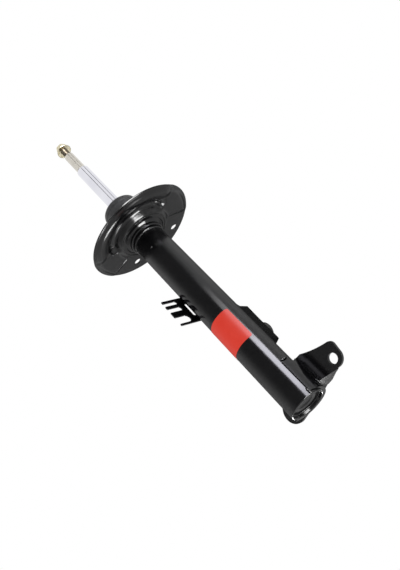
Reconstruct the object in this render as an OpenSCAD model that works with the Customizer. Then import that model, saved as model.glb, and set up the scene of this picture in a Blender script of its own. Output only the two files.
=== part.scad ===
// Front suspension strut: a twin-tube damper in a welded body, with its rod fully out.
// Millimetres. +Z runs up the strut's axis towards the rod, and the origin is the centre
// of the lower end face. The knuckle brackets are on the +Y side.

/* [Outer tube] */
// Outside diameter of the tube
tube_d = 51; // [48:0.5:55]
// Wall of the tube
tube_wall = 2.5; // [2:0.1:3]
// Height of the rolled upper end
tube_top_z = 430; // [425:1:432]
// Thickness of the rolled-in lip
tube_lip_t = 2.5; // [2:0.1:3]
// Hole that the rolled lip leaves
tube_lip_hole_d = 34; // [30:1:38]
// Height of the small locating pip
pip_z = 322; // [290:1:335]
// Diameter of the locating pip
pip_d = 4; // [3:0.5:6]

/* [Base cap] */
// Depth of the closing plate inside the tube's end
base_z = 5; // [4:0.5:6]
// Thickness of the closing plate
base_t = 4; // [3:0.5:5]
// Diameter of the plate's shallow middle dish
dish_d = 30; // [24:1:34]
// Depth of the plate's shallow middle dish
dish_depth = 1; // [0.5:0.25:1.5]

/* [Pressure cylinder] */
// Bore of the pressure cylinder
bore_d = 32; // [30:0.5:34]
// Wall of the pressure cylinder
bore_wall = 1.5; // [1.2:0.1:2]
// Height of its lower end
bore_low_z = 21; // [20:0.5:22]
// Depth of its upper end below the tube's end
bore_top_drop = 26; // [24:0.5:30]

/* [Rod] */
// Diameter of the chromed rod
rod_d = 22; // [20:0.5:24]
// Height of the shoulder under the neck
shoulder_z = 563.5; // [558:0.5:570]
// Diameter of the ground neck
neck_d = 17; // [15:0.5:18]
// Length of the ground neck
neck_len = 50; // [46:0.5:54]
// Outside diameter of the thread
thread_d = 12; // [11:0.5:14]
// Pitch of the thread
thread_pitch = 1.5; // [1.25:0.25:2]
// Length of the thread
thread_len = 32; // [29:0.5:38]
// Height of the rod's lower shoulder, over the piston
rod_foot_z = 348; // [346:0.5:352]
// Diameter of the rod's lower spigot
spigot_d = 12; // [10:0.5:13]
// Radial running clearance of the rod
rod_clearance = 0.03; // [0.02:0.01:0.08]

/* [Piston] */
// Height of the piston
piston_h = 18; // [16:0.5:20]
// Radial gap from the piston to the cylinder
piston_gap = 0.15; // [0.1:0.05:0.3]
// Depth of the piston's band groove
band_depth = 1; // [0.8:0.1:1.4]
// Height of the slide band
band_h = 11; // [8:0.5:12]
// Running clearance of the slide band
band_clearance = 0.05; // [0.03:0.01:0.08]
// Diameter of each oil port
port_d = 3; // [2:0.25:3.5]
// Number of oil ports
port_count = 6; // [4:1:8]
// Pitch circle of the oil ports
port_pcd = 22; // [20:0.5:24]
// Thickness of one valve disc
disc_t = 0.5; // [0.4:0.1:0.6]
// Number of valve discs in a stack
disc_count = 4; // [3:1:5]
// Diameter of the largest piston disc
disc_d = 27; // [26:0.5:28]
// Height of the piston nut
piston_nut_h = 9; // [8:0.5:11]
// Width across flats of the piston nut
piston_nut_af = 19; // [18:0.5:20]

/* [Rebound stop] */
// Height of the steel stop ring
stop_h = 6; // [5:0.5:8]
// Outside diameter of the steel stop ring
stop_d = 30; // [28:0.5:31]
// Height of the rubber ring
buffer_h = 12; // [10:0.5:14]
// Outside diameter of the rubber ring
buffer_d = 29; // [28:0.5:30]

/* [Rod guide and seal] */
// Height of the guide's spigot in the cylinder
guide_spigot_h = 8; // [6:0.5:10]
// Height of the lined bush
bush_h = 15; // [12:0.5:18]
// Wall of the lined bush
bush_wall = 1.5; // [1:0.1:2]
// Height of the lip seal
seal_h = 10; // [8:0.5:11]
// Thickness of the steel cover over the seal
cover_t = 2; // [1.5:0.25:2.5]
// Wire diameter of the garter spring
garter_d = 1.6; // [1.2:0.1:2]

/* [Foot valve] */
// Height of the foot valve's feet
foot_h = 5; // [4:0.5:6]
// Height of the spigot in the cylinder
foot_spigot_h = 5; // [4:0.5:6]
// Diameter of the rivet
rivet_d = 6; // [5:0.5:7]
// Diameter of the intake plate
intake_d = 26; // [24:0.5:28]

/* [Top cap] */
// Outside diameter of the cap
cap_d = 60.5; // [58:0.5:64]
// Rise of the cap's top face over the tube's end
cap_rise = 8; // [6:0.5:12]
// Length of the cap
cap_len = 40; // [32:1:46]
// Wall of the cap
cap_wall = 2.5; // [2:0.25:3]
// Number of gripping ribs inside the cap
cap_ribs = 12; // [8:1:16]
// Diameter of the hole round the rod
cap_hole_d = 27; // [25:0.5:30]

/* [Spring seat] */
// Diameter of the seat's rim
seat_d = 179.6; // [174:0.2:186]
// Thickness of the pressed sheet
seat_t = 2.5; // [2:0.25:4]
// Height of the rim's centre on the axis
seat_z = 376.5; // [374:0.5:380]
// Tilt of the seat from square
seat_tilt = 8.6; // [5:0.1:10]
// Compass angle of the seat's low side
seat_low_az = -61; // [-70:1:-50]
// Drop of the flat ring round the tube below the rim
seat_hub_drop = 8; // [6:0.5:10]
// Radius at which the flat ring ends
seat_hub_r = 41; // [38:0.5:43]
// Height of the inner trough above the rim's plane
seat_trough_rise = 4; // [2:0.5:6]
// Depth of the coil channel below the rim
seat_channel_drop = 5; // [3:0.5:7]
// Half angle of the low trough
seat_trough_half = 69; // [60:1:75]
// Half angle at which the high flat begins
seat_flat_half = 117; // [110:1:125]
// Diameter of each drain hole
drain_d = 8; // [6:0.5:10]
// Radius of the drain holes from the axis
drain_r = 71; // [62:1:74]
// Half angle between the drain holes and the low side
drain_half = 145; // [138:1:150]

/* [Seat collar] */
// Height of the collar's lower edge
collar_z = 351; // [348:0.5:353]
// Wall of the collar's lower ring
collar_wall = 1.9; // [1.5:0.1:2.5]
// Height of the collar's lower ring
collar_low_h = 6; // [4:0.5:8]
// Extra radius of the collar's second ring
collar_step = 1.6; // [1:0.1:2.5]
// Height of the collar's second ring
collar_mid_h = 4; // [3:0.5:5]

/* [Label] */
// Height of the label's lower edge
label_z = 108; // [100:1:115]
// Height of the label
label_h = 54; // [40:1:56]
// Width of the label round the tube
label_w = 80; // [60:1:84]
// Compass angle of the label's first edge
label_az = -31; // [-45:1:-20]
// Thickness of the label
label_t = 0.3; // [0.2:0.05:0.5]

/* [Hose bracket] */
// Compass angle at which the plate touches the tube
hose_az = 171; // [165:1:180]
// Thickness of the plate
hose_t = 2; // [1.5:0.25:3]
// Height of the plate's lower edge
hose_z = 195; // [185:1:205]
// Height of the plate
hose_h = 51; // [50:0.5:56]
// Reach of the fingers from the touching line
hose_reach = 44.5; // [40:0.5:50]
// Reach of the slots' closed ends
hose_slot_in = 22; // [20:0.5:24]

/* [Upper bracket] */
// Width of the pressed box
upper_w = 34; // [30:0.5:38]
// Sheet thickness of the pressed box
upper_t = 3; // [2.5:0.25:4]
// Distance of the web from the tube's axis
upper_y = 37; // [35:0.5:40]
// Height of the web's lower bend
upper_low_z = 99; // [96:1:104]
// Height of the web's upper bend
upper_top_z = 167; // [160:1:172]
// Radius of the box's two lower corners
upper_corner_r = 13; // [8:1:15]
// Height of the bolt boss
boss_z = 125; // [120:1:128]
// Length of the bolt boss
boss_len = 9; // [7:0.5:12]

/* [Knuckle bracket] */
// Sheet thickness of the bracket
ear_t = 4; // [3.5:0.25:5]
// Distance of the ears' front face from the tube's axis
ear_y = 20; // [18:0.5:22]
// Height of the saddle's lower edge
saddle_z = 0.5; // [0.3:0.1:2]
// Height of the saddle
saddle_h = 56; // [52:0.5:58]
// Compass angle of the saddle's first edge
saddle_from = -27; // [-34:1:-20]
// Compass angle of the saddle's last edge
saddle_to = 180; // [172:1:190]
// Diameter of each bolt hole
bolt_d = 14; // [12:0.5:15]
// Distance of the long ear's bolt hole from the axis
long_ear_x = 59; // [56:0.5:62]
// Distance of the short ear's bolt hole from the axis
short_ear_x = 34; // [34:0.5:38]
// Height of the long ear's bolt hole
bolt_z = 15.5; // [15:0.5:17]
// Height of the short ear's bolt hole
short_bolt_z = 19; // [18:0.5:22]
// Radius of the long ear's round end
ear_r = 13; // [12:0.5:14]
// Radius of the short ear's round end
short_r = 17.5; // [15:0.5:18]
// Depth of the long ear's lower flange beside the tube
flange_y = 18; // [12:0.5:22]
// Thickness of the long ear's lower flange
flange_t = 4; // [3:0.25:5]

/* [Top nut] */
// Width across flats
nut_af = 18; // [17.5:0.5:21]
// Height of the hexagon
nut_h = 9.5; // [8:0.5:11]
// Diameter of the flange
nut_flange_d = 26; // [23:0.5:28]
// Thickness of the flange
nut_flange_t = 2.5; // [2:0.25:3]
// Height of the nut's flange above the neck
nut_lift = 17.5; // [10:0.5:18]
// Height of the locking ring in the nut
insert_h = 3; // [2:0.25:4]

/* [Hidden] */
$fn = 96;
touch = 0.03;
tube_r = tube_d / 2;
tube_in_r = tube_r - tube_wall;
base_top_z = base_z + base_t;
bore_r = bore_d / 2;
bore_top_z = tube_top_z - bore_top_drop;
bore_out_r = bore_r + bore_wall;
rod_r = rod_d / 2;
rod_run_r = rod_r + rod_clearance;
neck_top_z = shoulder_z + neck_len;
rod_tip_z = neck_top_z + thread_len;
thread_depth = 0.61 * thread_pitch;
shoulder_bevel = 2;

stack_h = disc_t * disc_count;
washer_h = 2.5;
washer_d = 20;
disc_step = 1.5;
piston_top_z = rod_foot_z - washer_h - stack_h;
piston_low_z = piston_top_z - piston_h;
piston_r = bore_r - piston_gap;
rebound_low_z = piston_low_z - stack_h;
spigot_low_z = rebound_low_z - piston_nut_h - 3;
band_z = piston_low_z + (piston_h - band_h) / 2;

lip_z = tube_top_z - tube_lip_t;
cover_z = lip_z - cover_t;
seal_z = cover_z - seal_h;
guide_low_z = bore_top_z - guide_spigot_h;
guide_top_z = seal_z;
bush_z = guide_low_z + 1;
buffer_gap = 0.3;
buffer_z = guide_low_z - buffer_gap - buffer_h;
stop_z = buffer_z - stop_h;

foot_flange_h = bore_low_z - base_top_z - foot_h;
foot_top_z = bore_low_z + foot_spigot_h;
foot_disc_d = 21;
foot_slot_w = 7;
foot_slots = 4;
foot_port_d = 2.6;
foot_port_pcd = 15;
rivet_head_d = 11;
rivet_head_h = 2;
intake_t = 0.8;
intake_spring_h = 2.2;

cap_r = cap_d / 2;
cap_top_z = tube_top_z + cap_rise;
cap_low_z = cap_top_z - cap_len;
cap_edge = 2;

seat_r = seat_d / 2;
seat_bore_r = tube_r + 0.4;
seat_blend = 6;
seat_in_r = tube_r - 4;
seat_out_r = seat_r + 1.5;
// Stations of the seat's section, as radii from the rim's centre
seat_stations = [seat_in_r, seat_hub_r, seat_hub_r + 3.5, seat_hub_r + 7, 54, 57.5, 61, 64, 68,
                 74, 79, 82, 84.5, 87, seat_out_r];
// Angles from the low side, closer together where the section changes
seat_angles = [for (a = [0 : 2 : 358])
    if (a % 6 == 0 || min(abs(abs(((a + 180) % 360) - 180) - seat_trough_half),
                          abs(abs(((a + 180) % 360) - 180) - seat_flat_half)) < seat_blend + 1) a];
seat_steps = len(seat_angles);
seat_edge_drop = 2.3;
drain_turn = 4;
seat_flat_h = 0.3;
seat_plateau_drop = 4;
collar_in_r = tube_r + touch;
collar_low_r = tube_r + collar_wall;
collar_mid_r = collar_low_r + collar_step;
collar_flare_z = collar_z + collar_low_h + collar_mid_h;
collar_flare_r = seat_hub_r - 1;
collar_flare_h = 13;

label_sweep = label_w / (2 * PI * tube_r) * 360;

hose_foot_h = [12, 14];
hose_slit_in = 13;
hose_root = -6;
// Slots of the hose bracket: height above the lower edge, and width
hose_slots = [[10, 13], [31, 7.5], [43.5, 6]];

upper_flare_z = 10;
upper_top_y = 24;
upper_low_y = 25;
boss_r = upper_w / 2;
boss_edge = 1.5;
bolt_r = bolt_d / 2;

saddle_r = tube_r + touch;
saddle_out_r = saddle_r + ear_t;
saddle_top_z = saddle_z + saddle_h;
saddle_slope = 6;
fillet_r = 4;
fillet_x = sqrt(pow(saddle_out_r + fillet_r, 2) - pow(ear_y - fillet_r, 2));
flange_slope = 24;
long_root_z = 15;
ear_hollow = 1.5;
saddle_dip = 16;
fillet_top_z = 46;
ear_back_y = ear_y + ear_t;
long_tip_r = 8;
nut_z = neck_top_z + nut_lift;
nut_top_z = nut_z + nut_flange_t + nut_h;

black_steel = "#17181a";
dark_plastic = "#2b2c2e";
chrome = "#d9dce2";
ground_steel = "#b9b3a8";
bare_steel = "#8d9094";
zinc_yellow = "#c9b25a";
label_red = "#d43a2c";
rubber_black = "#202020";
sinter_grey = "#77797c";
ptfe_brown = "#8a6a4a";
nylon_white = "#e8e6dc";

// A plain ring or tube
module ring(r_out, r_in, z, h) {
    translate([0, 0, z]) difference() {
        cylinder(r = r_out, h = h);
        translate([0, 0, -1]) cylinder(r = r_in, h = h + 2);
    }
}

// Small holes on a circle, cut along Z
module port_holes(count, pcd, d, z, h) {
    for (i = [0 : count - 1])
        rotate([0, 0, (i + 0.5) * 360 / count]) translate([pcd / 2, 0, z])
            cylinder(d = d, h = h, $fn = 32);
}

// A stack of discs whose diameters shrink by a step, the largest at the face it seals
module disc_stack(d, z, up) {
    for (i = [0 : disc_count - 1]) {
        level = up ? i : disc_count - 1 - i;
        ring(d / 2 - i * disc_step, spigot_d / 2 + touch, z + level * disc_t, disc_t);
    }
}

// ---- Welded body ----

module outer_tube() color(black_steel) union() {
    rotate_extrude() polygon([
        [tube_in_r, 0], [tube_r - 0.6, 0], [tube_r, 0.6], [tube_r, tube_top_z - 2],
        [tube_r - 2, tube_top_z], [tube_lip_hole_d / 2, tube_top_z],
        [tube_lip_hole_d / 2, lip_z], [tube_in_r, lip_z]]);
    rotate([0, 0, -70]) translate([tube_r - 0.6, 0, pip_z]) rotate([0, 90, 0])
        cylinder(d1 = pip_d, d2 = pip_d - 1.5, h = 1.8, $fn = 32);
}

module base_cap() color(black_steel) rotate_extrude() polygon([
    [0, base_z + dish_depth], [dish_d / 2 - 2 * dish_depth, base_z + dish_depth],
    [dish_d / 2, base_z], [tube_in_r - touch, base_z], [tube_in_r - touch, base_top_z],
    [0, base_top_z]]);

module inner_tube() color(bare_steel)
    ring(bore_out_r, bore_r, bore_low_z, bore_top_z - bore_low_z);

module label() color(label_red) rotate([0, 0, label_az - label_sweep])
    translate([0, 0, label_z]) rotate_extrude(angle = label_sweep)
        translate([tube_r + touch, 0]) square([label_t, label_h]);

// ---- Rod and piston ----

module piston_rod() color(chrome) union() {
    rotate_extrude() polygon(concat(
        [[0, spigot_low_z], [spigot_d / 2 - 1, spigot_low_z],
         [spigot_d / 2, spigot_low_z + 1], [spigot_d / 2, rod_foot_z], [rod_r, rod_foot_z],
         [rod_r, shoulder_z - shoulder_bevel], [rod_r - 0.7, shoulder_z - 0.6],
         [rod_r - shoulder_bevel, shoulder_z], [neck_d / 2, shoulder_z],
         [neck_d / 2, neck_top_z - 1.5], [thread_d / 2 - thread_depth, neck_top_z]],
        [[thread_d / 2 - thread_depth, rod_tip_z - 0.5], [0, rod_tip_z - 0.5]]));
    rod_thread();
}

// The thread as a row of crests on the thread's core
module rod_thread() {
    core_r = thread_d / 2 - thread_depth;
    turns = floor((thread_len - 1) / thread_pitch);
    for (i = [0 : turns - 1])
        translate([0, 0, neck_top_z + 0.5 + i * thread_pitch])
            rotate_extrude() polygon([
                [core_r - 0.5, 0], [core_r, 0], [thread_d / 2, thread_pitch * 0.4],
                [thread_d / 2, thread_pitch * 0.6], [core_r, thread_pitch],
                [core_r - 0.5, thread_pitch]]);
}

module rebound_stop() color(bare_steel) ring(stop_d / 2, rod_r + touch, stop_z, stop_h);

module rebound_buffer() color(rubber_black) rotate_extrude() polygon([
    [rod_r + touch, buffer_z], [buffer_d / 2, buffer_z], [buffer_d / 2, buffer_z + buffer_h - 3],
    [buffer_d / 2 - 1.5, buffer_z + buffer_h], [rod_r + touch, buffer_z + buffer_h]]);

module upper_washer() color(bare_steel)
    ring(washer_d / 2, spigot_d / 2 + touch, rod_foot_z - washer_h, washer_h);

module compression_discs() color(bare_steel) disc_stack(disc_d, piston_top_z, true);

module piston() color(sinter_grey) difference() {
    translate([0, 0, piston_low_z]) cylinder(r = piston_r, h = piston_h);
    translate([0, 0, piston_low_z - 1]) cylinder(r = spigot_d / 2 + touch, h = piston_h + 2);
    port_holes(port_count, port_pcd, port_d, piston_low_z - 1, piston_h + 2);
    ring(piston_r + 1, piston_r - band_depth, band_z, band_h);
}

module piston_band() color(ptfe_brown)
    ring(bore_r - band_clearance, piston_r - band_depth + band_clearance,
         band_z + band_clearance, band_h - 2 * band_clearance);

module rebound_discs() color(bare_steel) disc_stack(disc_d, rebound_low_z, false);

module piston_nut() color(bare_steel) translate([0, 0, rebound_low_z - piston_nut_h])
    difference() {
        cylinder(d = piston_nut_af / cos(30), h = piston_nut_h, $fn = 6);
        translate([0, 0, -1]) cylinder(r = spigot_d / 2 + touch, h = piston_nut_h + 2);
    }

// ---- Guide and seal ----

module rod_guide() color(sinter_grey) difference() {
    union() {
        translate([0, 0, bore_top_z]) cylinder(r = tube_in_r - touch, h = guide_top_z - bore_top_z);
        translate([0, 0, guide_low_z]) cylinder(r = bore_r - touch, h = guide_spigot_h + 1);
    }
    translate([0, 0, guide_low_z - 1]) cylinder(r = rod_r + 0.6, h = 100);
    translate([0, 0, bush_z]) cylinder(r = rod_run_r + bush_wall + touch, h = 100);
    port_holes(4, 38, port_d, bore_top_z - 1, 100);
}

module guide_bush() color(ptfe_brown) ring(rod_run_r + bush_wall, rod_run_r, bush_z, bush_h);

module rod_seal() color(rubber_black) rotate_extrude() polygon([
    [rod_run_r + 1.5, seal_z + touch], [tube_in_r - touch, seal_z + touch],
    [tube_in_r - touch, cover_z - touch], [rod_run_r + 4 + garter_d, cover_z - touch],
    [rod_run_r + 4 + garter_d, seal_z + 4], [rod_run_r + 2.4, seal_z + 4],
    [rod_run_r + 2.4, cover_z - 1.5], [rod_run_r, cover_z - 2.5], [rod_run_r, cover_z - 4],
    [rod_run_r + 1.2, seal_z + 3]]);

module seal_spring() color(bare_steel) translate([0, 0, cover_z - 3.2])
    rotate_extrude() translate([rod_run_r + 2.4 + garter_d / 2 + touch, 0])
        circle(d = garter_d, $fn = 24);

module seal_cover() color(bare_steel)
    ring(tube_in_r - touch, rod_r + 1, cover_z, cover_t - touch);

// ---- Foot valve ----

module foot_valve_body() color(sinter_grey) difference() {
    union() {
        ring(bore_out_r, foot_disc_d / 2 + 2, base_top_z + touch, foot_h + 1);
        translate([0, 0, base_top_z + foot_h]) cylinder(r = bore_out_r, h = foot_flange_h);
        translate([0, 0, bore_low_z - 1]) cylinder(r = bore_r - touch, h = foot_spigot_h + 1);
    }
    translate([0, 0, -1]) cylinder(r = rivet_d / 2 + touch, h = 100);
    port_holes(port_count, foot_port_pcd, foot_port_d, 0, 100);
    port_holes(port_count, port_pcd, foot_port_d, bore_low_z - foot_flange_h - 1, 100);
    for (i = [0 : foot_slots - 1])
        rotate([0, 0, i * 360 / foot_slots]) translate([0, -foot_slot_w / 2, base_top_z - 1])
            cube([tube_r, foot_slot_w, foot_h + 1]);
}

module foot_valve_discs() color(bare_steel)
    ring(foot_disc_d / 2, rivet_d / 2 + touch, base_top_z + foot_h - 1.5, 1.5 - touch);

module intake_plate() color(bare_steel) difference() {
    ring(intake_d / 2, rivet_d / 2 + touch, foot_top_z + touch, intake_t);
    port_holes(port_count, foot_port_pcd, foot_port_d, foot_top_z - 1, 4);
}

module intake_spring() color(bare_steel) rotate_extrude() polygon([
    [rivet_d / 2 + touch, foot_top_z + intake_t + 1.4], [6, foot_top_z + intake_t + 1.4],
    [11, foot_top_z + intake_t + 2 * touch], [11.6, foot_top_z + intake_t + 0.5],
    [6.2, foot_top_z + intake_t + intake_spring_h],
    [rivet_d / 2 + touch, foot_top_z + intake_t + intake_spring_h]]);

module foot_valve_rivet() color(bare_steel) union() {
    low_z = base_top_z + foot_h - 1.5 - rivet_head_h;
    top_z = foot_top_z + intake_t + intake_spring_h;
    translate([0, 0, low_z]) cylinder(d = rivet_head_d, h = rivet_head_h);
    translate([0, 0, low_z]) cylinder(d = rivet_d, h = top_z - low_z + 1);
    translate([0, 0, top_z + touch]) cylinder(d = rivet_head_d, h = rivet_head_h);
}

// ---- Bump cap ----

module top_cap() color(dark_plastic) union() {
    rotate_extrude() polygon([
        [cap_r - cap_wall, cap_low_z], [cap_r, cap_low_z], [cap_r, cap_top_z - cap_edge],
        [cap_r - cap_edge, cap_top_z], [cap_hole_d / 2, cap_top_z],
        [cap_hole_d / 2, tube_top_z + touch], [cap_r - cap_wall, tube_top_z + touch]]);
    for (i = [0 : cap_ribs - 1])
        rotate([0, 0, i * 360 / cap_ribs])
            translate([tube_r + touch, -1, cap_low_z])
                cube([cap_r - cap_wall - tube_r + 0.5, 2, tube_top_z - cap_low_z + 1]);
}

// ---- Spring seat ----

// Smooth step from 0 to 1 across the angle or radius "at"
function blend(x, at, half) =
    let (t = min(1, max(0, (x - at + half) / (2 * half)))) t * t * (3 - 2 * t);

// Underside of the seat in the low sector, as a height from the rim plane
function seat_low_h(r) = lookup(r, [
    [seat_in_r, -seat_hub_drop], [seat_hub_r, -seat_hub_drop],
    [seat_hub_r + 3.5, -seat_hub_drop / 2], [seat_hub_r + 7, seat_trough_rise - 1],
    [54, seat_trough_rise], [57.5, seat_trough_rise - 1.5], [61, -seat_channel_drop + 2.5],
    [64, -seat_channel_drop], [68, -seat_channel_drop - 0.5], [74, -seat_channel_drop - 0.5],
    [79, -seat_channel_drop], [82, -seat_channel_drop + 0.5], [84.5, -seat_edge_drop - 1.3],
    [87, -seat_edge_drop - 0.2], [seat_out_r, -seat_edge_drop]]);

// Underside in the side plateaus
function seat_plateau_h(r) = lookup(r, [
    [seat_in_r, -seat_hub_drop], [seat_hub_r, -seat_hub_drop],
    [seat_hub_r + 7, -seat_plateau_drop - 0.5], [54, -seat_plateau_drop],
    [79, -seat_plateau_drop], [84.5, -seat_plateau_drop / 2], [87, -1.2],
    [seat_out_r, -0.8]]);

// Underside in the high flat
function seat_flat(r) = lookup(r, [
    [seat_in_r, -seat_hub_drop], [seat_hub_r, -seat_hub_drop],
    [seat_hub_r + 7, seat_flat_h - 0.5], [54, seat_flat_h], [seat_out_r, seat_flat_h]]);

function seat_h(r, a) = let (
    turn = abs(((a % 360) + 540) % 360 - 180),
    to_plateau = blend(turn, seat_trough_half, seat_blend),
    to_flat = blend(turn, seat_flat_half, seat_blend),
    side = seat_low_h(r) * (1 - to_plateau) + seat_plateau_h(r) * to_plateau)
    side * (1 - to_flat) + seat_flat(r) * to_flat;

// Moves what is drawn in the rim's plane to its place on the strut, low side along +X
module seat_place() translate([0, 0, seat_z]) rotate([0, 0, seat_low_az])
    rotate([0, seat_tilt, 0]) children();

module seat_sheet() {
    rows = len(seat_stations);
    under = [for (i = [0 : rows - 1]) for (a = seat_angles)
        let (r = seat_stations[i]) [r * cos(a), r * sin(a), seat_h(r, a)]];
    over = [for (p = under) [p[0], p[1], p[2] + seat_t]];
    n = len(under);
    function at(i, j) = i * seat_steps + j % seat_steps;
    low_faces = [for (i = [0 : rows - 2]) for (j = [0 : seat_steps - 1])
        for (f = [[at(i, j), at(i, j + 1), at(i + 1, j + 1)],
                  [at(i, j), at(i + 1, j + 1), at(i + 1, j)]]) f];
    top_faces = [for (f = low_faces) [f[2] + n, f[1] + n, f[0] + n]];
    last = rows - 1;
    in_wall = [for (j = [0 : seat_steps - 1])
        for (f = [[at(0, j), at(0, j) + n, at(0, j + 1) + n],
                  [at(0, j), at(0, j + 1) + n, at(0, j + 1)]]) f];
    out_wall = [for (j = [0 : seat_steps - 1])
        for (f = [[at(last, j), at(last, j + 1) + n, at(last, j) + n],
                  [at(last, j), at(last, j + 1), at(last, j + 1) + n]]) f];
    polyhedron(points = concat(under, over),
               faces = concat(low_faces, top_faces, in_wall, out_wall), convexity = 6);
}

module spring_seat() color(black_steel) difference() {
    seat_place() intersection() {
        seat_sheet();
        translate([0, 0, -30]) cylinder(r = seat_r, h = 60);
    }
    translate([0, 0, seat_z - 60]) cylinder(r = seat_bore_r, h = 120);
    seat_place() for (side = [-1, 1])
        rotate([0, 0, side * drain_half + drain_turn]) translate([drain_r, 0, -20])
            cylinder(d = drain_d, h = 40, $fn = 48);
}

module seat_collar() color(black_steel) difference() {
    rotate_extrude() polygon([
        [collar_in_r, collar_z], [collar_low_r, collar_z],
        [collar_low_r, collar_z + collar_low_h], [collar_mid_r, collar_z + collar_low_h],
        [collar_mid_r, collar_flare_z], [collar_flare_r, collar_flare_z + collar_flare_h],
        [collar_in_r, collar_flare_z + collar_flare_h]]);
    seat_place() translate([-seat_r, -seat_r, -seat_hub_drop - touch])
        cube([seat_d, seat_d, 60]);
}

// ---- Brackets ----

module hose_bracket() color(black_steel) rotate([0, 0, hose_az])
    translate([tube_r + touch, 0, hose_z]) rotate([90, 0, 90]) linear_extrude(hose_t)
        difference() {
            translate([hose_root, 0]) square([hose_reach - hose_root, hose_h]);
            translate([hose_root - 1, hose_foot_h[0]])
                square([hose_slit_in - hose_root + 1, hose_h - hose_foot_h[0] - hose_foot_h[1]]);
            for (s = hose_slots) {
                translate([hose_slot_in + s[1] / 2, s[0] - s[1] / 2 + (s[1] / 2)])
                    circle(d = s[1], $fn = 48);
                translate([hose_slot_in + s[1] / 2, s[0] - s[1] / 2])
                    square([hose_reach, s[1]]);
            }
        }

module upper_bracket() color(black_steel) difference() {
    upper_box(0);
    upper_box(upper_t);
    translate([0, 0, upper_low_z - 50]) cylinder(r = tube_r + touch, h = 200);
    translate([0, 0, boss_z]) rotate([-90, 0, 0]) cylinder(r = bolt_r, h = upper_y + 10);
}

// The box's outside, or its hollow when drawn with an inset
module upper_box(inset) intersection() {
    translate([upper_w / 2 - inset, 0, 0]) rotate([90, 0, -90])
        linear_extrude(upper_w - 2 * inset) mirror([1, 0]) upper_side(inset);
    translate([0, upper_y + 5, 0]) rotate([90, 0, 0]) linear_extrude(upper_y + 5)
        upper_front(inset);
}

// Side outline of the box, as distance from the axis and height
module upper_side(inset) {
    root_y = inset > 0 ? 0 : 10;
    low = inset * 1.15;
    polygon([[root_y, upper_top_z + upper_flare_z - inset],
             [upper_top_y - 5, upper_top_z + upper_flare_z - inset],
             [upper_top_y, upper_top_z + 2 - inset],
             [upper_y + 1 - inset, upper_top_z - inset],
             [upper_y - inset, boss_z + boss_r],
             [upper_y - inset, upper_low_z + low], [upper_low_y, upper_low_z - 7 + low],
             [root_y, upper_low_z - 9 + low]]);
}

// Front outline of the box, with its lower corners rounded
module upper_front(inset) {
    half = upper_w / 2 - inset;
    corner = upper_corner_r - inset;
    low_z = upper_low_z - 9;
    translate([-half, low_z + corner + inset]) square([2 * half, 120]);
    translate([-half + corner, low_z + inset]) square([2 * (half - corner), 120]);
    for (side = [-1, 1])
        translate([side * (half - corner), low_z + corner + inset]) circle(r = corner);
}

module upper_boss() color(black_steel) translate([0, upper_y + touch, boss_z])
    rotate([-90, 0, 0]) difference() {
        rotate_extrude() polygon([
            [0, 0], [boss_r, 0], [boss_r, boss_len - boss_edge],
            [boss_r - boss_edge, boss_len], [0, boss_len]]);
        translate([0, 0, -1]) cylinder(r = bolt_r, h = boss_len + 2);
    }

// Touching points of the straight line that runs outside two circles, each [x, y, radius]
function tangent(a, b) = let (
    d = [b[0] - a[0], b[1] - a[1]],
    turn = atan2(d[1], d[0]) - acos((a[2] - b[2]) / norm(d)))
    [for (c = [a, b]) [c[0] + c[2] * cos(turn), c[1] + c[2] * sin(turn)]];

// A belt round circles given anticlockwise as [x, y, radius]
module belt(rounds) {
    n = len(rounds);
    polygon([for (i = [0 : n - 1]) for (p = tangent(rounds[i], rounds[(i + 1) % n])) p]);
    for (c = rounds)
        if (c[2] > 0) translate([c[0], c[1]]) circle(r = c[2]);
}

// Front outlines of the two ears
module long_ear_outline() {
    tip = [long_ear_x + 7.5, bolt_z + 11, long_tip_r];
    shoulder = [saddle_out_r + 1, saddle_top_z - 3, 1];
    edge = tangent(tip, shoulder);
    span = edge[1] - edge[0];
    across = [-span[1], span[0]] / norm(span);
    hollow_r = (pow(norm(span) / 2, 2) + ear_hollow * ear_hollow) / (2 * ear_hollow);
    difference() {
        belt([[saddle_out_r - 10, long_root_z, 0],
              [long_ear_x + 0.5, bolt_z + 0.5, ear_r], tip, shoulder,
              [saddle_out_r - 10, saddle_top_z, 0]]);
        translate((edge[0] + edge[1]) / 2 - across * (hollow_r - ear_hollow))
            circle(r = hollow_r, $fn = 360);
    }
}

module short_ear_outline() belt([
    [-saddle_out_r + 8, saddle_top_z, 0],
    [-saddle_out_r + 2, saddle_top_z - 6, 2],
    [-short_ear_x, short_bolt_z, short_r],
    [-saddle_out_r + 8, short_bolt_z - short_r, 0]]);

// Lower edge of the long ear as a strip, before it is turned to slope back
module long_flange_strip() {
    root_x = saddle_out_r - 10;
    edge = tangent([root_x, long_root_z, 0], [long_ear_x + 0.5, bolt_z + 0.5, ear_r]);
    polygon([[root_x - 8, long_root_z - 0.5], edge[0], edge[1], edge[1] + [0, flange_t / 2],
             edge[0] + [0, flange_t], [root_x - 8, long_root_z - 0.5 + flange_t]]);
}

// Plan of the long ear's flange, which is deepest beside the tube
module long_flange_plan() polygon([
    [saddle_out_r - 8, ear_y], [long_ear_x - 4, ear_y], [long_ear_x - 5, ear_y + 1],
    [long_ear_x - 12, ear_y + 4], [saddle_out_r + 1, ear_y + flange_y - 5],
    [saddle_out_r - 8, ear_y + flange_y - 2], [saddle_out_r - 18, ear_y + flange_y - 2]]);

module long_flange() intersection() {
    translate([0, ear_y, 0]) linear_extrude(60) translate([0, -ear_y]) long_flange_plan();
    translate([0, ear_y, long_root_z]) rotate([-flange_slope, 0, 0])
        translate([0, 40, 0]) rotate([90, 0, 0]) linear_extrude(40)
            translate([0, -long_root_z]) long_flange_strip();
}

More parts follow.
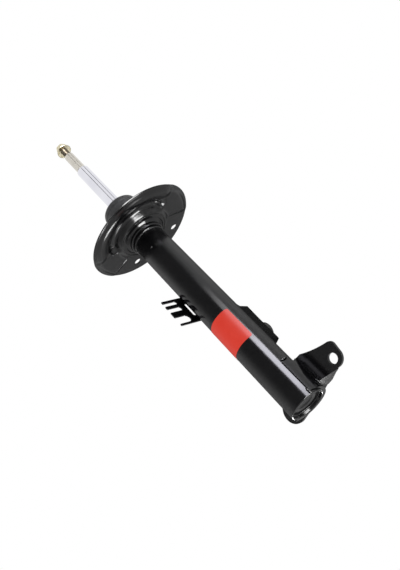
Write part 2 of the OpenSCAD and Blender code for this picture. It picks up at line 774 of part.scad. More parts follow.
// Plan of the wrap round the tube
module saddle_plan() difference() {
    circle(r = saddle_out_r);
    circle(r = saddle_r);
    rotate([0, 0, saddle_to]) square([60, 60]);
    rotate([0, 0, saddle_from - 90]) square([60, 60]);
    rotate([0, 0, (saddle_from + saddle_to + 360) / 2 - 45]) square([60, 60]);
}

// Plan of the fillet that leads from the wrap to an ear
module fillet_plan() difference() {
    polygon([[saddle_out_r * 0.7, ear_y + 1], [fillet_x, ear_y + 1], [fillet_x, ear_y],
             [saddle_out_r * fillet_x / (saddle_out_r + fillet_r),
              saddle_out_r * (ear_y - fillet_r) / (saddle_out_r + fillet_r)]]);
    translate([fillet_x, ear_y - fillet_r]) circle(r = fillet_r, $fn = 64);
}

module fillet() translate([0, 0, long_root_z]) linear_extrude(fillet_top_z - long_root_z)
    children();

module ear_plate() translate([0, ear_back_y, 0]) rotate([90, 0, 0]) linear_extrude(ear_t)
    children();

// What an ear leaves free for the wrap, and the hole for its bolt
module ear_cuts(x, z) {
    translate([0, 0, -10]) cylinder(r = saddle_out_r + touch, h = 100);
    translate([x, ear_y - 5, z]) rotate([-90, 0, 0]) cylinder(r = bolt_r, h = 40);
}

// Slopes of the pressing's edges on the long ear's side
module saddle_slopes() {
    translate([0, ear_y + 4, saddle_z]) rotate([-saddle_slope, 0, 0])
        translate([0, -80, -20]) cube([50, 80, 20]);
    translate([0, ear_y - fillet_r, fillet_top_z]) rotate([-saddle_dip, 0, 0])
        translate([0, -80, 0]) cube([50, 80, 30]);
}

module knuckle_wrap() color(black_steel) difference() {
    translate([0, 0, saddle_z]) linear_extrude(saddle_h) saddle_plan();
    saddle_slopes();
}

module long_ear() color(black_steel) difference() {
    union() {
        fillet() fillet_plan();
        ear_plate() long_ear_outline();
        long_flange();
    }
    saddle_slopes();
    ear_cuts(long_ear_x, bolt_z);
}

module short_ear() color(black_steel) difference() {
    union() {
        fillet() mirror([1, 0]) fillet_plan();
        ear_plate() short_ear_outline();
    }
    ear_cuts(-short_ear_x, short_bolt_z);
}

// ---- Top nut ----

module top_nut() color(zinc_yellow) translate([0, 0, nut_z]) difference() {
    union() {
        cylinder(d1 = nut_flange_d, d2 = nut_af, h = nut_flange_t);
        intersection() {
            cylinder(d = nut_af / cos(30), h = nut_flange_t + nut_h, $fn = 6);
            rotate_extrude() polygon([
                [0, 0], [nut_af / 2 + 2, 0], [nut_af / 2 + 2, nut_flange_t + nut_h - 2],
                [nut_af / 2 - 0.6, nut_flange_t + nut_h], [0, nut_flange_t + nut_h]]);
        }
    }
    translate([0, 0, -1]) cylinder(r = thread_d / 2 + touch, h = nut_flange_t + nut_h + 2);
    translate([0, 0, nut_flange_t + nut_h - insert_h])
        cylinder(r = thread_d / 2 + 1.6, h = insert_h + 1);
}

module nut_insert() color(nylon_white) ring(
    thread_d / 2 + 1.6 - touch, thread_d / 2 + touch,
    nut_top_z - insert_h + touch, insert_h - 0.4);

outer_tube();
base_cap();
inner_tube();
piston_rod();
rebound_stop();
rebound_buffer();
upper_washer();
compression_discs();
piston();
piston_band();
rebound_discs();
piston_nut();
rod_guide();
guide_bush();
rod_seal();
seal_spring();
seal_cover();
foot_valve_body();
foot_valve_discs();
intake_plate();
intake_spring();
foot_valve_rivet();
top_cap();
spring_seat();
seat_collar();
label();
hose_bracket();
upper_bracket();
upper_boss();
knuckle_wrap();
long_ear();
short_ear();
top_nut();
nut_insert();
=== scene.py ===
"""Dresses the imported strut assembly: a front suspension strut with its spring seat, brackets and rod.

Lengths in the classes are millimetres in the part's own frame: +Z runs up the strut's axis towards
the rod, and the origin is the centre of the tube's lower end. Meshes are made in metres.
"""

import logging
import math
from dataclasses import dataclass, field
from enum import Enum
from typing import Callable, Iterable, Sequence

import bpy
from mathutils import Matrix, Vector


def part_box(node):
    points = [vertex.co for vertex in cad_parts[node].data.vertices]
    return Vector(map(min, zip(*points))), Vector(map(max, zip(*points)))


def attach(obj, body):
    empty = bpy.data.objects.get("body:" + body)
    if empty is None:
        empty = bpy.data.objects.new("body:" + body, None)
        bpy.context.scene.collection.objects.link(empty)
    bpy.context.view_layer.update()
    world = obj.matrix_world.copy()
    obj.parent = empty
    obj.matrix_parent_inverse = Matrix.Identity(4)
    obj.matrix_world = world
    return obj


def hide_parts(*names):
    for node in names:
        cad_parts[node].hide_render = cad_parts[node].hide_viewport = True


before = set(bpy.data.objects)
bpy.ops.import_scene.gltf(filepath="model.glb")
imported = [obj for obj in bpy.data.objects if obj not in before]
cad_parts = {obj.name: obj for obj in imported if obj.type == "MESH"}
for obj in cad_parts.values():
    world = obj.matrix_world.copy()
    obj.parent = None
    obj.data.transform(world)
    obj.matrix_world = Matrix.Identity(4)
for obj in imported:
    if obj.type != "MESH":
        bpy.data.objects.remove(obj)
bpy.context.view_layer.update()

LOG = logging.getLogger("strut")
MM = 0.001
# Corners of a turned ring
SIDES = 160
# Clearance between pieces that touch
TOUCH = 0.03
# Corners nearer to each other than this are one
MERGE = 0.004
# A weld bead's swell at each pool, its slower swell and its wander, as shares of its radius
POOL_SWELL = 0.13
SLOW_SWELL = 0.08
WANDER = 0.12
# Share of the radius at a bead's ends, and how much it grows from point to point
BEAD_END = 0.35
BEAD_GROWTH = 0.16

Point2 = tuple[float, float]
Point3 = tuple[float, float, float]


class Body(Enum):
    """The bodies that new pieces ride on."""

    ROOT = "root"
    ROD = "rod"


class Slot(Enum):
    """The record's material slots, by name; no piece here takes one."""

    PAINT = "black_paint"
    CAP = "dark_plastic"
    LABEL = "red_label"
    CHROME = "hard_chrome"
    ZINC = "yellow_zinc"
    NYLON = "nylon"


# ---- Modelling steps ----


class Bench:
    """Modelling steps that the pieces share. Each works on one object."""

    @staticmethod
    def take(piece: bpy.types.Object) -> None:
        """Makes a piece the only selected and the active object.

        Args:
            piece: The piece.
        """
        bpy.ops.object.select_all(action="DESELECT")
        piece.select_set(True)
        bpy.context.view_layer.objects.active = piece

    @staticmethod
    def named(name: str) -> bpy.types.Object:
        """Names the new object and puts its place in its mesh.

        Args:
            name: The piece's name.

        Returns:
            The piece.
        """
        piece = bpy.context.object
        piece.name = name
        piece.data.name = name
        bpy.ops.object.transform_apply(location=True, rotation=True, scale=True)
        return piece

    @staticmethod
    def face_outwards() -> None:
        """Turns all faces of the mesh in edit mode outwards."""
        bpy.ops.mesh.select_all(action="SELECT")
        bpy.ops.mesh.normals_make_consistent(inside=False)

    @staticmethod
    def turned(
        name: str, profile: Sequence[Point2], closed: bool = True, sides: int = SIDES
    ) -> bpy.types.Object:
        """Turns a profile round the strut's axis, ring by ring.

        Args:
            name: The piece's name.
            profile: Radius and height of each ring, all radii above zero.
            closed: Joins the last ring to the first, as in a pipe. Otherwise both ends get a face.
            sides: Corners of each ring.

        Returns:
            The piece.
        """
        profile = held(profile)
        radius, height = profile[0]
        bpy.ops.object.select_all(action="DESELECT")
        bpy.ops.mesh.primitive_circle_add(
            vertices=sides, radius=radius * MM, fill_type="NOTHING", location=(0, 0, height * MM)
        )
        piece = Bench.named(name)
        bpy.ops.object.mode_set(mode="EDIT")
        bpy.ops.mesh.select_all(action="SELECT")
        for (r, z), (r_next, z_next) in zip(profile, profile[1:]):
            bpy.ops.mesh.extrude_region_move(
                TRANSFORM_OT_translate={"value": (0, 0, (z_next - z) * MM)}
            )
            bpy.ops.transform.resize(value=(r_next / r, r_next / r, 1))
        bpy.ops.mesh.select_all(action="DESELECT")
        bpy.ops.mesh.select_non_manifold()
        if closed:
            bpy.ops.mesh.bridge_edge_loops()
        else:
            bpy.ops.mesh.fill_holes(sides=0)
        Bench.face_outwards()
        bpy.ops.object.mode_set(mode="OBJECT")
        return piece

    @staticmethod
    def plate(name: str, outline: Sequence[Point2], thickness: float) -> bpy.types.Object:
        """Draws an outline in the XY plane, corner by corner, and gives it its thickness.

        Args:
            name: The piece's name.
            outline: Corners in order, in millimetres.
            thickness: Height along +Z, in millimetres.

        Returns:
            The piece.
        """
        bpy.ops.object.select_all(action="DESELECT")
        bpy.ops.mesh.primitive_plane_add(
            size=MM, location=(outline[0][0] * MM, outline[0][1] * MM, 0)
        )
        piece = Bench.named(name)
        bpy.ops.object.mode_set(mode="EDIT")
        bpy.ops.mesh.select_all(action="SELECT")
        bpy.ops.mesh.merge(type="CENTER")
        for (x, y), (x_next, y_next) in zip(outline, outline[1:]):
            step = ((x_next - x) * MM, (y_next - y) * MM, 0)
            bpy.ops.mesh.extrude_vertices_move(TRANSFORM_OT_translate={"value": step})
        bpy.ops.mesh.select_all(action="SELECT")
        bpy.ops.mesh.edge_face_add()
        bpy.ops.mesh.extrude_region_move(TRANSFORM_OT_translate={"value": (0, 0, thickness * MM)})
        Bench.face_outwards()
        bpy.ops.object.mode_set(mode="OBJECT")
        return piece

    @staticmethod
    def copied(name: str, nodes: Sequence[str]) -> bpy.types.Object:
        """Starts a piece from the solids of some nodes, merged and with flat areas made whole.

        Args:
            name: The piece's name.
            nodes: The nodes whose meshes are copied.

        Returns:
            The piece.
        """
        copies = []
        for node in nodes:
            twin = bpy.data.objects.new(name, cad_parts[node].data.copy())
            bpy.context.scene.collection.objects.link(twin)
            copies.append(twin)
        Bench.take(copies[0])
        for twin in copies[1:]:
            twin.select_set(True)
        if len(copies) > 1:
            bpy.ops.object.join()
        piece = Bench.named(name)
        bpy.ops.object.mode_set(mode="EDIT")
        bpy.ops.mesh.select_all(action="SELECT")
        bpy.ops.mesh.customdata_custom_splitnormals_clear()
        bpy.ops.object.mode_set(mode="OBJECT")
        Bench.flattened(piece)
        return piece

    @staticmethod
    def flattened(piece: bpy.types.Object) -> None:
        """Merges a solid's doubled corners and makes its flat areas whole.

        Args:
            piece: The piece.
        """
        Bench.take(piece)
        bpy.ops.object.mode_set(mode="EDIT")
        bpy.ops.mesh.select_all(action="SELECT")
        bpy.ops.mesh.remove_doubles(threshold=MERGE * MM)
        bpy.ops.mesh.dissolve_limited(angle_limit=math.radians(0.6))
        bpy.ops.object.mode_set(mode="OBJECT")

    @staticmethod
    def twin(piece: bpy.types.Object, place: Matrix) -> bpy.types.Object:
        """Copies a piece, with a mesh of its own, to another place.

        Args:
            piece: The piece.
            place: The way from the piece to its copy.

        Returns:
            The copy.
        """
        copy = piece.copy()
        copy.data = piece.data.copy()
        bpy.context.scene.collection.objects.link(copy)
        Bench.place(copy, place)
        return copy

    @staticmethod
    def place(piece: bpy.types.Object, place: Matrix) -> None:
        """Moves a piece to its place and puts the place in its mesh.

        Args:
            piece: The piece.
            place: The way from where the piece is drawn to its place, in metres.
        """
        Bench.take(piece)
        piece.matrix_world = place
        bpy.ops.object.transform_apply(location=True, rotation=True, scale=True)

    @staticmethod
    def modify(piece: bpy.types.Object, kind: str, **settings: object) -> None:
        """Adds a modifier with its settings and applies it.

        Args:
            piece: The piece.
            kind: The modifier's type.
            settings: The modifier's own settings.
        """
        Bench.take(piece)
        modifier = piece.modifiers.new(kind.title(), kind)
        for key, value in settings.items():
            setattr(modifier, key, value)
        bpy.ops.object.modifier_apply(modifier=modifier.name)

    @staticmethod
    def combine(piece: bpy.types.Object, tool: bpy.types.Object, operation: str) -> None:
        """Cuts, joins or trims a piece with a tool body, which is then thrown away."""
        Bench.modify(piece, "BOOLEAN", object=tool, operation=operation, solver="EXACT")
        bpy.data.objects.remove(tool)

    @staticmethod
    def round_edges(
        piece: bpy.types.Object, width: float, angle: float = 30.0, segments: int = 3
    ) -> None:
        """Rounds every edge sharper than an angle.

        Args:
            piece: The piece.
            width: Width of the rounding in millimetres.
            angle: Least angle between the faces of a rounded edge, in degrees.
            segments: Faces across the rounding.
        """
        Bench.modify(
            piece,
            "BEVEL",
            width=width * MM,
            segments=segments,
            limit_method="ANGLE",
            angle_limit=math.radians(angle),
            harden_normals=False,
            use_clamp_overlap=True,
            miter_outer="MITER_ARC",
        )

    @staticmethod
    def smooth(piece: bpy.types.Object, angle: float = 32.0, flat: bool = False) -> None:
        """Shades a piece smooth, but for edges sharper than an angle.

        Args:
            piece: The piece.
            angle: Least angle of an edge that stays sharp, in degrees.
            flat: Keeps large faces flat, so that only their roundings shade smoothly.
        """
        Bench.take(piece)
        bpy.ops.object.shade_smooth_by_angle(angle=math.radians(angle))
        if flat:
            Bench.modify(
                piece, "WEIGHTED_NORMAL", mode="FACE_AREA_WITH_ANGLE", weight=100, keep_sharp=True
            )

    @staticmethod
    def joined(pieces: Sequence[bpy.types.Object], name: str) -> bpy.types.Object:
        """Makes one piece of several.

        Args:
            pieces: The pieces.
            name: The name of the whole.

        Returns:
            The whole piece.
        """
        Bench.take(pieces[0])
        for piece in pieces[1:]:
            piece.select_set(True)
        bpy.ops.object.join()
        return Bench.named(name)

    @staticmethod
    def bead(
        name: str, path: Sequence[Point3], radius: float, ripple: float = 1.5
    ) -> bpy.types.Object:
        """Lays a weld bead along a path, with the ripples of its solidified pools.

        Args:
            name: The piece's name.
            path: Points of the bead's middle line, in millimetres.
            radius: Radius of the bead's section, in millimetres.
            ripple: Distance between ripples along the bead, in millimetres.

        Returns:
            The piece.
        """
        points = [Vector(p) for p in path]
        fine: list[Vector] = []
        for a, b in zip(points, points[1:]):
            count = max(1, round((b - a).length / (ripple / 4)))
            fine += [a.lerp(b, i / count) for i in range(count)]
        fine.append(points[-1])
        line = bpy.data.curves.new(name, "CURVE")
        line.dimensions = "3D"
        spline = line.splines.new("POLY")
        spline.points.add(len(fine) - 1)
        run = 0.0
        for i, p in enumerate(fine):
            run += (p - fine[i - 1]).length if i else 0.0
            end = min(1.0, BEAD_END + min(i, len(fine) - 1 - i) * BEAD_GROWTH)
            pool = 1 + POOL_SWELL * math.cos(2 * math.pi * run / ripple)
            pool += SLOW_SWELL * math.sin(run * 0.9)
            wander = WANDER * radius * math.sin(run * 1.7 + 0.6 * math.sin(run * 0.53))
            spline.points[i].co = (p.x * MM, p.y * MM, (p.z + wander) * MM, 1)
            spline.points[i].radius = end * pool
        line.bevel_depth = radius * MM
        line.bevel_resolution = 3
        line.use_fill_caps = True
        piece = bpy.data.objects.new(name, line)
        bpy.context.scene.collection.objects.link(piece)
        Bench.take(piece)
        bpy.ops.object.convert(target="MESH")
        piece = Bench.named(name)
        bpy.ops.object.mode_set(mode="EDIT")
        bpy.ops.mesh.select_all(action="SELECT")
        bpy.ops.mesh.remove_doubles(threshold=0.001 * MM)
        Bench.face_outwards()
        bpy.ops.object.mode_set(mode="OBJECT")
        Bench.smooth(piece, 60)
        return piece


def arc(centre: Point2, radius: float, start: float, end: float, count: int = 12) -> list[Point2]:
    """Points of an arc, from one angle in degrees to another."""
    turns = [math.radians(start + (end - start) * i / count) for i in range(count + 1)]
    return [(centre[0] + radius * math.cos(t), centre[1] + radius * math.sin(t)) for t in turns]


def held(profile: Sequence[Point2], long: float = 3.0, near: float = 0.35) -> list[Point2]:
    """Adds a ring near each end of a profile's long lines, which holds their shading straight.

    Args:
        profile: Radius and height of each ring.
        long: Least length of a line that gets the rings, in millimetres.
        near: Distance of the rings from the line's ends, in millimetres.

    Returns:
        The profile with the rings added.
    """
    points = [profile[0]]
    for (r, z), (r_next, z_next) in zip(profile, profile[1:]):
        length = math.hypot(r_next - r, z_next - z)
        if length > long:
            for share in (near / length, 1 - near / length):
                points.append((r + (r_next - r) * share, z + (z_next - z) * share))
        points.append((r_next, z_next))
    return points


def between(x: float, start: float, end: float) -> float:
    """Share of the way from start to end, held from 0 to 1."""
    return min(1.0, max(0.0, (x - start) / (end - start)))


def eased(x: float, start: float, end: float) -> float:
    """Share of the way from start to end, with soft ends."""
    t = between(x, start, end)
    return t * t * (3 - 2 * t)


def around(azimuth: float, radius: float, height: float) -> Point3:
    """The point at a compass angle in degrees, a radius and a height."""
    turn = math.radians(azimuth)
    return (radius * math.cos(turn), radius * math.sin(turn), height)


def sweep(start: float, end: float, step: float) -> list[float]:
    """Angles from start to end in about equal steps."""
    count = max(1, round(abs(end - start) / step))
    return [start + (end - start) * i / count for i in range(count + 1)]


# ---- Finishes ----


def paint(code: str) -> tuple[float, float, float, float]:
    """Turns an sRGB hex colour into a linear colour.

    Args:
        code: The colour, as a hash sign and six digits.

    Returns:
        Red, green, blue and alpha.
    """
    parts = [int(code[i : i + 2], 16) / 255 for i in (1, 3, 5)]
    linear = [c / 12.92 if c <= 0.04045 else ((c + 0.055) / 1.055) ** 2.4 for c in parts]
    return (linear[0], linear[1], linear[2], 1.0)


def add(
    tree: bpy.types.NodeTree, kind: str, inputs: dict | None = None, **settings: object
) -> bpy.types.Node:
    """Adds a node, sets it up, and sets or links its inputs.

    Args:
        tree: The node tree.
        kind: The node's type, without its ShaderNode prefix.
        inputs: A value or an output socket for each input's name or number.
        settings: The node's own settings.

    Returns:
        The node.
    """
    node = tree.nodes.new("ShaderNode" + kind)
    for key, value in settings.items():
        setattr(node, key, value)
    for key, value in (inputs or {}).items():
        if isinstance(value, bpy.types.NodeSocket):
            tree.links.new(value, node.inputs[key])
        else:
            node.inputs[key].default_value = value
    return node


def ramp(
    tree: bpy.types.NodeTree, source: bpy.types.NodeSocket, stops: Sequence[tuple[float, object]]
) -> bpy.types.NodeSocket:
    """Adds a colour ramp whose stops are grey levels or hex colours, and gives its output.

    Args:
        tree: The node tree.
        source: The output that moves along the ramp.
        stops: The place of each stop, from 0 to 1, and its grey level or hex colour.

    Returns:
        The ramp's colour output.
    """
    node = add(tree, "ValToRGB", {0: source})
    ends = node.color_ramp.elements
    for i, (at, value) in enumerate(stops):
        end = ends[i] if i < len(ends) else ends.new(at)
        end.position = at
        end.color = paint(value) if isinstance(value, str) else (value, value, value, 1)
    return node.outputs[0]


def matt(name: str, code: str) -> bpy.types.Material:
    """Makes the plain matt material of a studio object.

    Args:
        name: The material's name.
        code: Its hex colour.

    Returns:
        The material.
    """
    material = bpy.data.materials.new(name)
    material.use_nodes = True
    tree = material.node_tree
    tree.nodes.clear()
    shader = add(tree, "BsdfDiffuse", {"Color": paint(code)})
    shader.name = "matt"
    add(tree, "OutputMaterial", {0: shader.outputs[0]})
    return material


@dataclass(frozen=True)
class Finish:
    """A finish: what the surface is, and the sizes of its marks.

    The base and second colours mix in soft patches, the roughness varies between two values in the
    same way, and the bump is a fine grain of its own size and depth.
    """

    name: str
    base: str
    second: str
    roughness: Point2
    metallic: float = 0.0
    patch_mm: float = 18.0
    grain_mm: float = 0.8
    grain_depth_mm: float = 0.01
    stretch: Point3 = (1.0, 1.0, 1.0)
    specular: float = 0.5
    coat: float = 0.0
    coat_roughness: float = 0.05
    sheen: float = 0.0
    detail: float = 4.0

    def made(self) -> bpy.types.Material:
        """Builds the material.

        Returns:
            The material.
        """
        material = bpy.data.materials.new(self.name)
        material.use_nodes = True
        tree = material.node_tree
        tree.nodes.clear()
        place = add(tree, "TexCoord").outputs["Object"]
        lined = add(tree, "Mapping", {0: place, "Scale": self.stretch}).outputs[0]
        patches = add(
            tree,
            "TexNoise",
            {"Vector": place, "Scale": 1000 / self.patch_mm, "Detail": self.detail},
        ).outputs[0]
        grain = add(
            tree, "TexNoise", {"Vector": lined, "Scale": 1000 / self.grain_mm, "Detail": 3.0}
        ).outputs[0]
        mixed = add(tree, "Math", {0: patches, 1: 0.65}, operation="MULTIPLY").outputs[0]
        mixed = add(tree, "Math", {0: grain, 1: 0.35, 2: mixed}, operation="MULTIPLY_ADD").outputs[0]
        colour = ramp(tree, mixed, [(0.35, self.base), (0.68, self.second)])
        rough = ramp(tree, patches, [(0.3, self.roughness[0]), (0.7, self.roughness[1])])
        bump = add(
            tree,
            "Bump",
            {"Height": grain, "Strength": 1.0, "Distance": self.grain_depth_mm * MM},
        ).outputs[0]
        shader = add(
            tree,
            "BsdfPrincipled",
            {
                "Base Color": colour,
                "Roughness": rough,
                "Metallic": self.metallic,
                "Specular IOR Level": self.specular,
                "Coat Weight": self.coat,
                "Coat Roughness": self.coat_roughness,
                "Sheen Weight": self.sheen,
                "Normal": bump,
            },
        )
        add(tree, "OutputMaterial", {0: shader.outputs[0]})
        return material


# Black electrocoat under gloss enamel: deep, nearly black, with the faint swell of sprayed paint
GLOSS_ENAMEL = Finish(
    "gloss_black_enamel", "#08080a", "#0c0c0e", (0.15, 0.18), grain_mm=2.5, grain_depth_mm=0.0004
)
# The same enamel over a weld's rough skin
WELD_ENAMEL = Finish(
    "gloss_black_enamel_on_weld", "#0b0b0c", "#141416", (0.1, 0.18), grain_mm=1.6,
    grain_depth_mm=0.05,
)
# Near-black satin with its reflection turned almost off: painted shade, standing in for the dark
# surroundings that the box's gloss enamel mirrors
SHADE_DIMMED_BLACK = Finish(
    "black_enamel_dimmed_as_painted_shade", "#060607", "#0a0a0b", (0.22, 0.3), grain_mm=1.5,
    grain_depth_mm=0.002, specular=0.03,
)
# Moulded polyurethane cap: dark grey, matte, with a coarse moulded grain
MOULDED_CAP = Finish(
    "moulded_polyurethane", "#161618", "#38393c", (0.40, 0.52), patch_mm=7.0, grain_mm=1.4,
    grain_depth_mm=0.10, detail=8.0,
)
# Hard chrome, ground and polished: mirror bright, with a trace of lines round the rod
HARD_CHROME = Finish(
    "hard_chrome_polished", "#dcdce4", "#e6e6ec", (0.04, 0.06), metallic=1.0, patch_mm=30.0,
    grain_mm=60.0, grain_depth_mm=0.0006, stretch=(1.0, 1.0, 110.0),
)
# Ground steel neck: warm grey with fine lines round it
GROUND_NECK = Finish(
    "ground_steel", "#c6c1b8", "#dad6cd", (0.2, 0.28), metallic=1.0, patch_mm=12.0, grain_mm=40.0,
    grain_depth_mm=0.004, stretch=(1.0, 1.0, 110.0),
)
# Rolled thread: steel darkened to brown-grey as painted shade for the shadowed thread, in two tones that
# mix in random patches
ROLLED_THREAD = Finish(
    "rolled_steel_thread", "#463f36", "#857c6e", (0.25, 0.38), metallic=1.0, patch_mm=5.0,
    grain_mm=0.7, grain_depth_mm=0.01,
)
# Zinc plate with yellow passivation: straw gold in two tones that mix in soft patches
YELLOW_ZINC = Finish(
    "yellow_passivated_zinc", "#cbc09a", "#ece6d2", (0.24, 0.36), metallic=1.0, patch_mm=4.0,
    grain_mm=0.8, grain_depth_mm=0.008,
)
# Calendered vinyl film of the band: even red with a satin face
RED_FILM = Finish(
    "red_vinyl_film", "#e4341f", "#ea3d29", (0.34, 0.4), patch_mm=25.0, grain_mm=1.2,
    grain_depth_mm=0.003, specular=0.32,
)
# Turned bare steel of the inner pieces
TURNED_STEEL = Finish(
    "turned_steel", "#85878a", "#a9abad", (0.28, 0.42), metallic=1.0, patch_mm=10.0,
    grain_mm=30.0, grain_depth_mm=0.01, stretch=(1.0, 1.0, 90.0),
)
# Sintered iron: dull grey and porous
SINTERED_IRON = Finish(
    "sintered_iron", "#5d5f62", "#7c7e81", (0.5, 0.65), metallic=0.9, patch_mm=3.0, grain_mm=0.4,
    grain_depth_mm=0.03,
)
# Nitrile rubber: black, matte, with a soft bloom
NITRILE = Finish(
    "nitrile_rubber", "#161617", "#232325", (0.55, 0.7), patch_mm=6.0, grain_mm=0.5,
    grain_depth_mm=0.02, sheen=0.1,
)
# Bronze-filled fluoropolymer lining: brown with metal flecks
FILLED_LINING = Finish(
    "bronze_filled_lining", "#6b4a30", "#94704c", (0.35, 0.5), patch_mm=1.5, grain_mm=0.3,
    grain_depth_mm=0.01, metallic=0.3,
)
# Moulded nylon ring: milky white
NATURAL_NYLON = Finish(
    "natural_nylon", "#dedbd0", "#ebe8de", (0.35, 0.45), patch_mm=5.0, grain_mm=0.6,
    grain_depth_mm=0.01,
)


class Dresser:
    """Gives pieces their finish and body, and logs each one's faces."""

    def __init__(self) -> None:
        """Starts with no material made yet."""
        self.made: dict[str, bpy.types.Material] = {}

    def material(self, finish: Finish) -> bpy.types.Material:
        """The material of a finish, made once.

        Args:
            finish: The finish.

        Returns:
            The material.
        """
        if finish.name not in self.made:
            self.made[finish.name] = finish.made()
        return self.made[finish.name]

    def dress(
        self,
        piece: bpy.types.Object,
        finish: Finish,
        body: Body = Body.ROOT,
        stands_for: Sequence[str] = (),
    ) -> bpy.types.Object:
        """Finishes a new piece.

        Args:
            piece: The piece, in its place.
            finish: Its finish.
            body: The body that it moves with.
            stands_for: The nodes that it takes the place of.

        Returns:
            The piece.
        """
        piece.data.materials.clear()
        piece.data.materials.append(self.material(finish))
        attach(piece, body.value)
        if stands_for:
            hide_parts(*stands_for)
        faces = len(piece.data.polygons)
        LOG.info("%s: %d faces on %s", piece.name, faces, body.value)
        return piece

    def refinish(self, nodes: Iterable[str], finish: Finish) -> None:
        """Gives solids that stay as they are a better material.

        Args:
            nodes: The names of the solids.
            finish: Their finish.
        """
        for name in nodes:
            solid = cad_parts[name]
            solid.data.materials.clear()
            solid.data.materials.append(self.material(finish))
            LOG.info("%s keeps its solid, in %s", name, finish.name)


# ---- Welded body ----


@dataclass
class DamperTube:
    """The outer tube with its pip, closing plate and label."""

    radius: float = 25.5
    wall: float = 2.5
    top: float = 430.0
    lip: float = 2.5
    lip_hole: float = 17.0
    pip: Point3 = (-70.0, 322.0, 2.0)
    base: Point2 = (5.0, 9.0)
    label_from: float = -31.0
    label_size: Point2 = (80.0, 54.0)
    label_z: float = 108.0
    label_t: float = 0.3
    label_corner: float = 3.0

    def tube(self) -> bpy.types.Object:
        """The tube, with a rounded lower rim and a rolled upper end.

        Returns:
            The piece.
        """
        inside = self.radius - self.wall
        profile = [
            (inside, 1.2), (inside + 0.35, 0.35), (inside + 0.9, 0), (self.radius - 0.9, 0),
            (self.radius - 0.3, 0.3), (self.radius, 1.1),
            (self.radius, self.top - 3.2), (self.radius - 0.7, self.top - 1.2),
            (self.radius - 2.4, self.top), (self.lip_hole + 0.5, self.top),
            (self.lip_hole, self.top - 0.5), (self.lip_hole, self.top - self.lip),
            (inside, self.top - self.lip),
        ]
        piece = Bench.turned("outer_tube_body", profile)
        Bench.smooth(piece, 50)
        return piece

    def pip_dome(self) -> bpy.types.Object:
        """The small pressed pip that locates a boot.

        Returns:
            The piece.
        """
        azimuth, height, radius = self.pip
        rings = [(radius, -0.7), (radius, 0), (radius * 0.93, 0.45), (radius * 0.72, 0.85),
                 (radius * 0.4, 1.1), (radius * 0.1, 1.2)]
        piece = Bench.turned("locating_pip", rings, closed=False, sides=32)
        turn = Matrix.Rotation(math.radians(azimuth), 4, "Z")
        seat = Matrix.Translation(((self.radius - 0.1) * MM, 0, height * MM))
        Bench.place(piece, turn @ seat @ Matrix.Rotation(math.radians(90), 4, "Y"))
        Bench.smooth(piece, 60)
        return piece

    def closing_plate(self) -> bpy.types.Object:
        """The pressed plate inside the lower end, dished and with a rolled edge.

        Returns:
            The piece.
        """
        low, high = self.base
        edge = self.radius - self.wall - TOUCH
        profile = [
            (0.4, low + 1), (8, low + 1), (12.4, low + 0.9), (14, low + 0.45), (15.4, low + 0.08),
            (17, low), (edge - 2.2, low), (edge - 0.9, low + 0.3), (edge - 0.2, low + 1),
            (edge, low + 2), (edge, high), (0.4, high),
        ]
        piece = Bench.turned("closing_plate", profile, closed=True, sides=128)
        Bench.smooth(piece, 40)
        return piece

    def plate_weld(self) -> bpy.types.Object:
        """The weld that closes the gap round the plate.

        Returns:
            The bead.
        """
        path = [around(a, self.radius - self.wall - 0.5, self.base[0] - 0.1)
                for a in sweep(0, 357, 4)]
        return Bench.bead("closing_weld", path, 1.0, ripple=2.2)

    def label(self) -> bpy.types.Object:
        """The bare red band, a thin film with round corners.

        Returns:
            The piece.
        """
        wide, tall = self.label_size
        c = self.label_corner
        outline = (
            arc((c, c), c, 180, 270, 6) + arc((wide - c, c), c, 270, 360, 6)
            + arc((wide - c, tall - c), c, 0, 90, 6) + arc((c, tall - c), c, 90, 180, 6)
        )
        piece = Bench.plate("label_band", outline, self.label_t)
        bpy.ops.object.mode_set(mode="EDIT")
        steps = 72
        for i in range(1, steps):
            bpy.ops.mesh.select_all(action="SELECT")
            bpy.ops.mesh.bisect(plane_co=(wide * MM * i / steps, 0, 0), plane_no=(1, 0, 0))
        bpy.ops.object.mode_set(mode="OBJECT")
        inner = self.radius + TOUCH
        for vertex in piece.data.vertices:
            x, y, z = vertex.co
            turn = math.radians(self.label_from) - x / (self.radius * MM)
            r = inner * MM + z
            vertex.co = (r * math.cos(turn), r * math.sin(turn), self.label_z * MM + y)
        bpy.ops.object.mode_set(mode="EDIT")
        Bench.face_outwards()
        bpy.ops.object.mode_set(mode="OBJECT")
        Bench.smooth(piece, 40)
        return piece

    def build(self, dresser: Dresser) -> None:
        """Builds and finishes the tube's pieces.

        Args:
            dresser: Gives each piece its finish and body.
        """
        dresser.dress(self.tube(), GLOSS_ENAMEL, stands_for=["outer_tube"])
        dresser.dress(self.pip_dome(), GLOSS_ENAMEL)
        dresser.dress(self.closing_plate(), GLOSS_ENAMEL, stands_for=["base_cap"])
        dresser.dress(self.plate_weld(), WELD_ENAMEL)
        dresser.dress(self.label(), RED_FILM, stands_for=["label"])


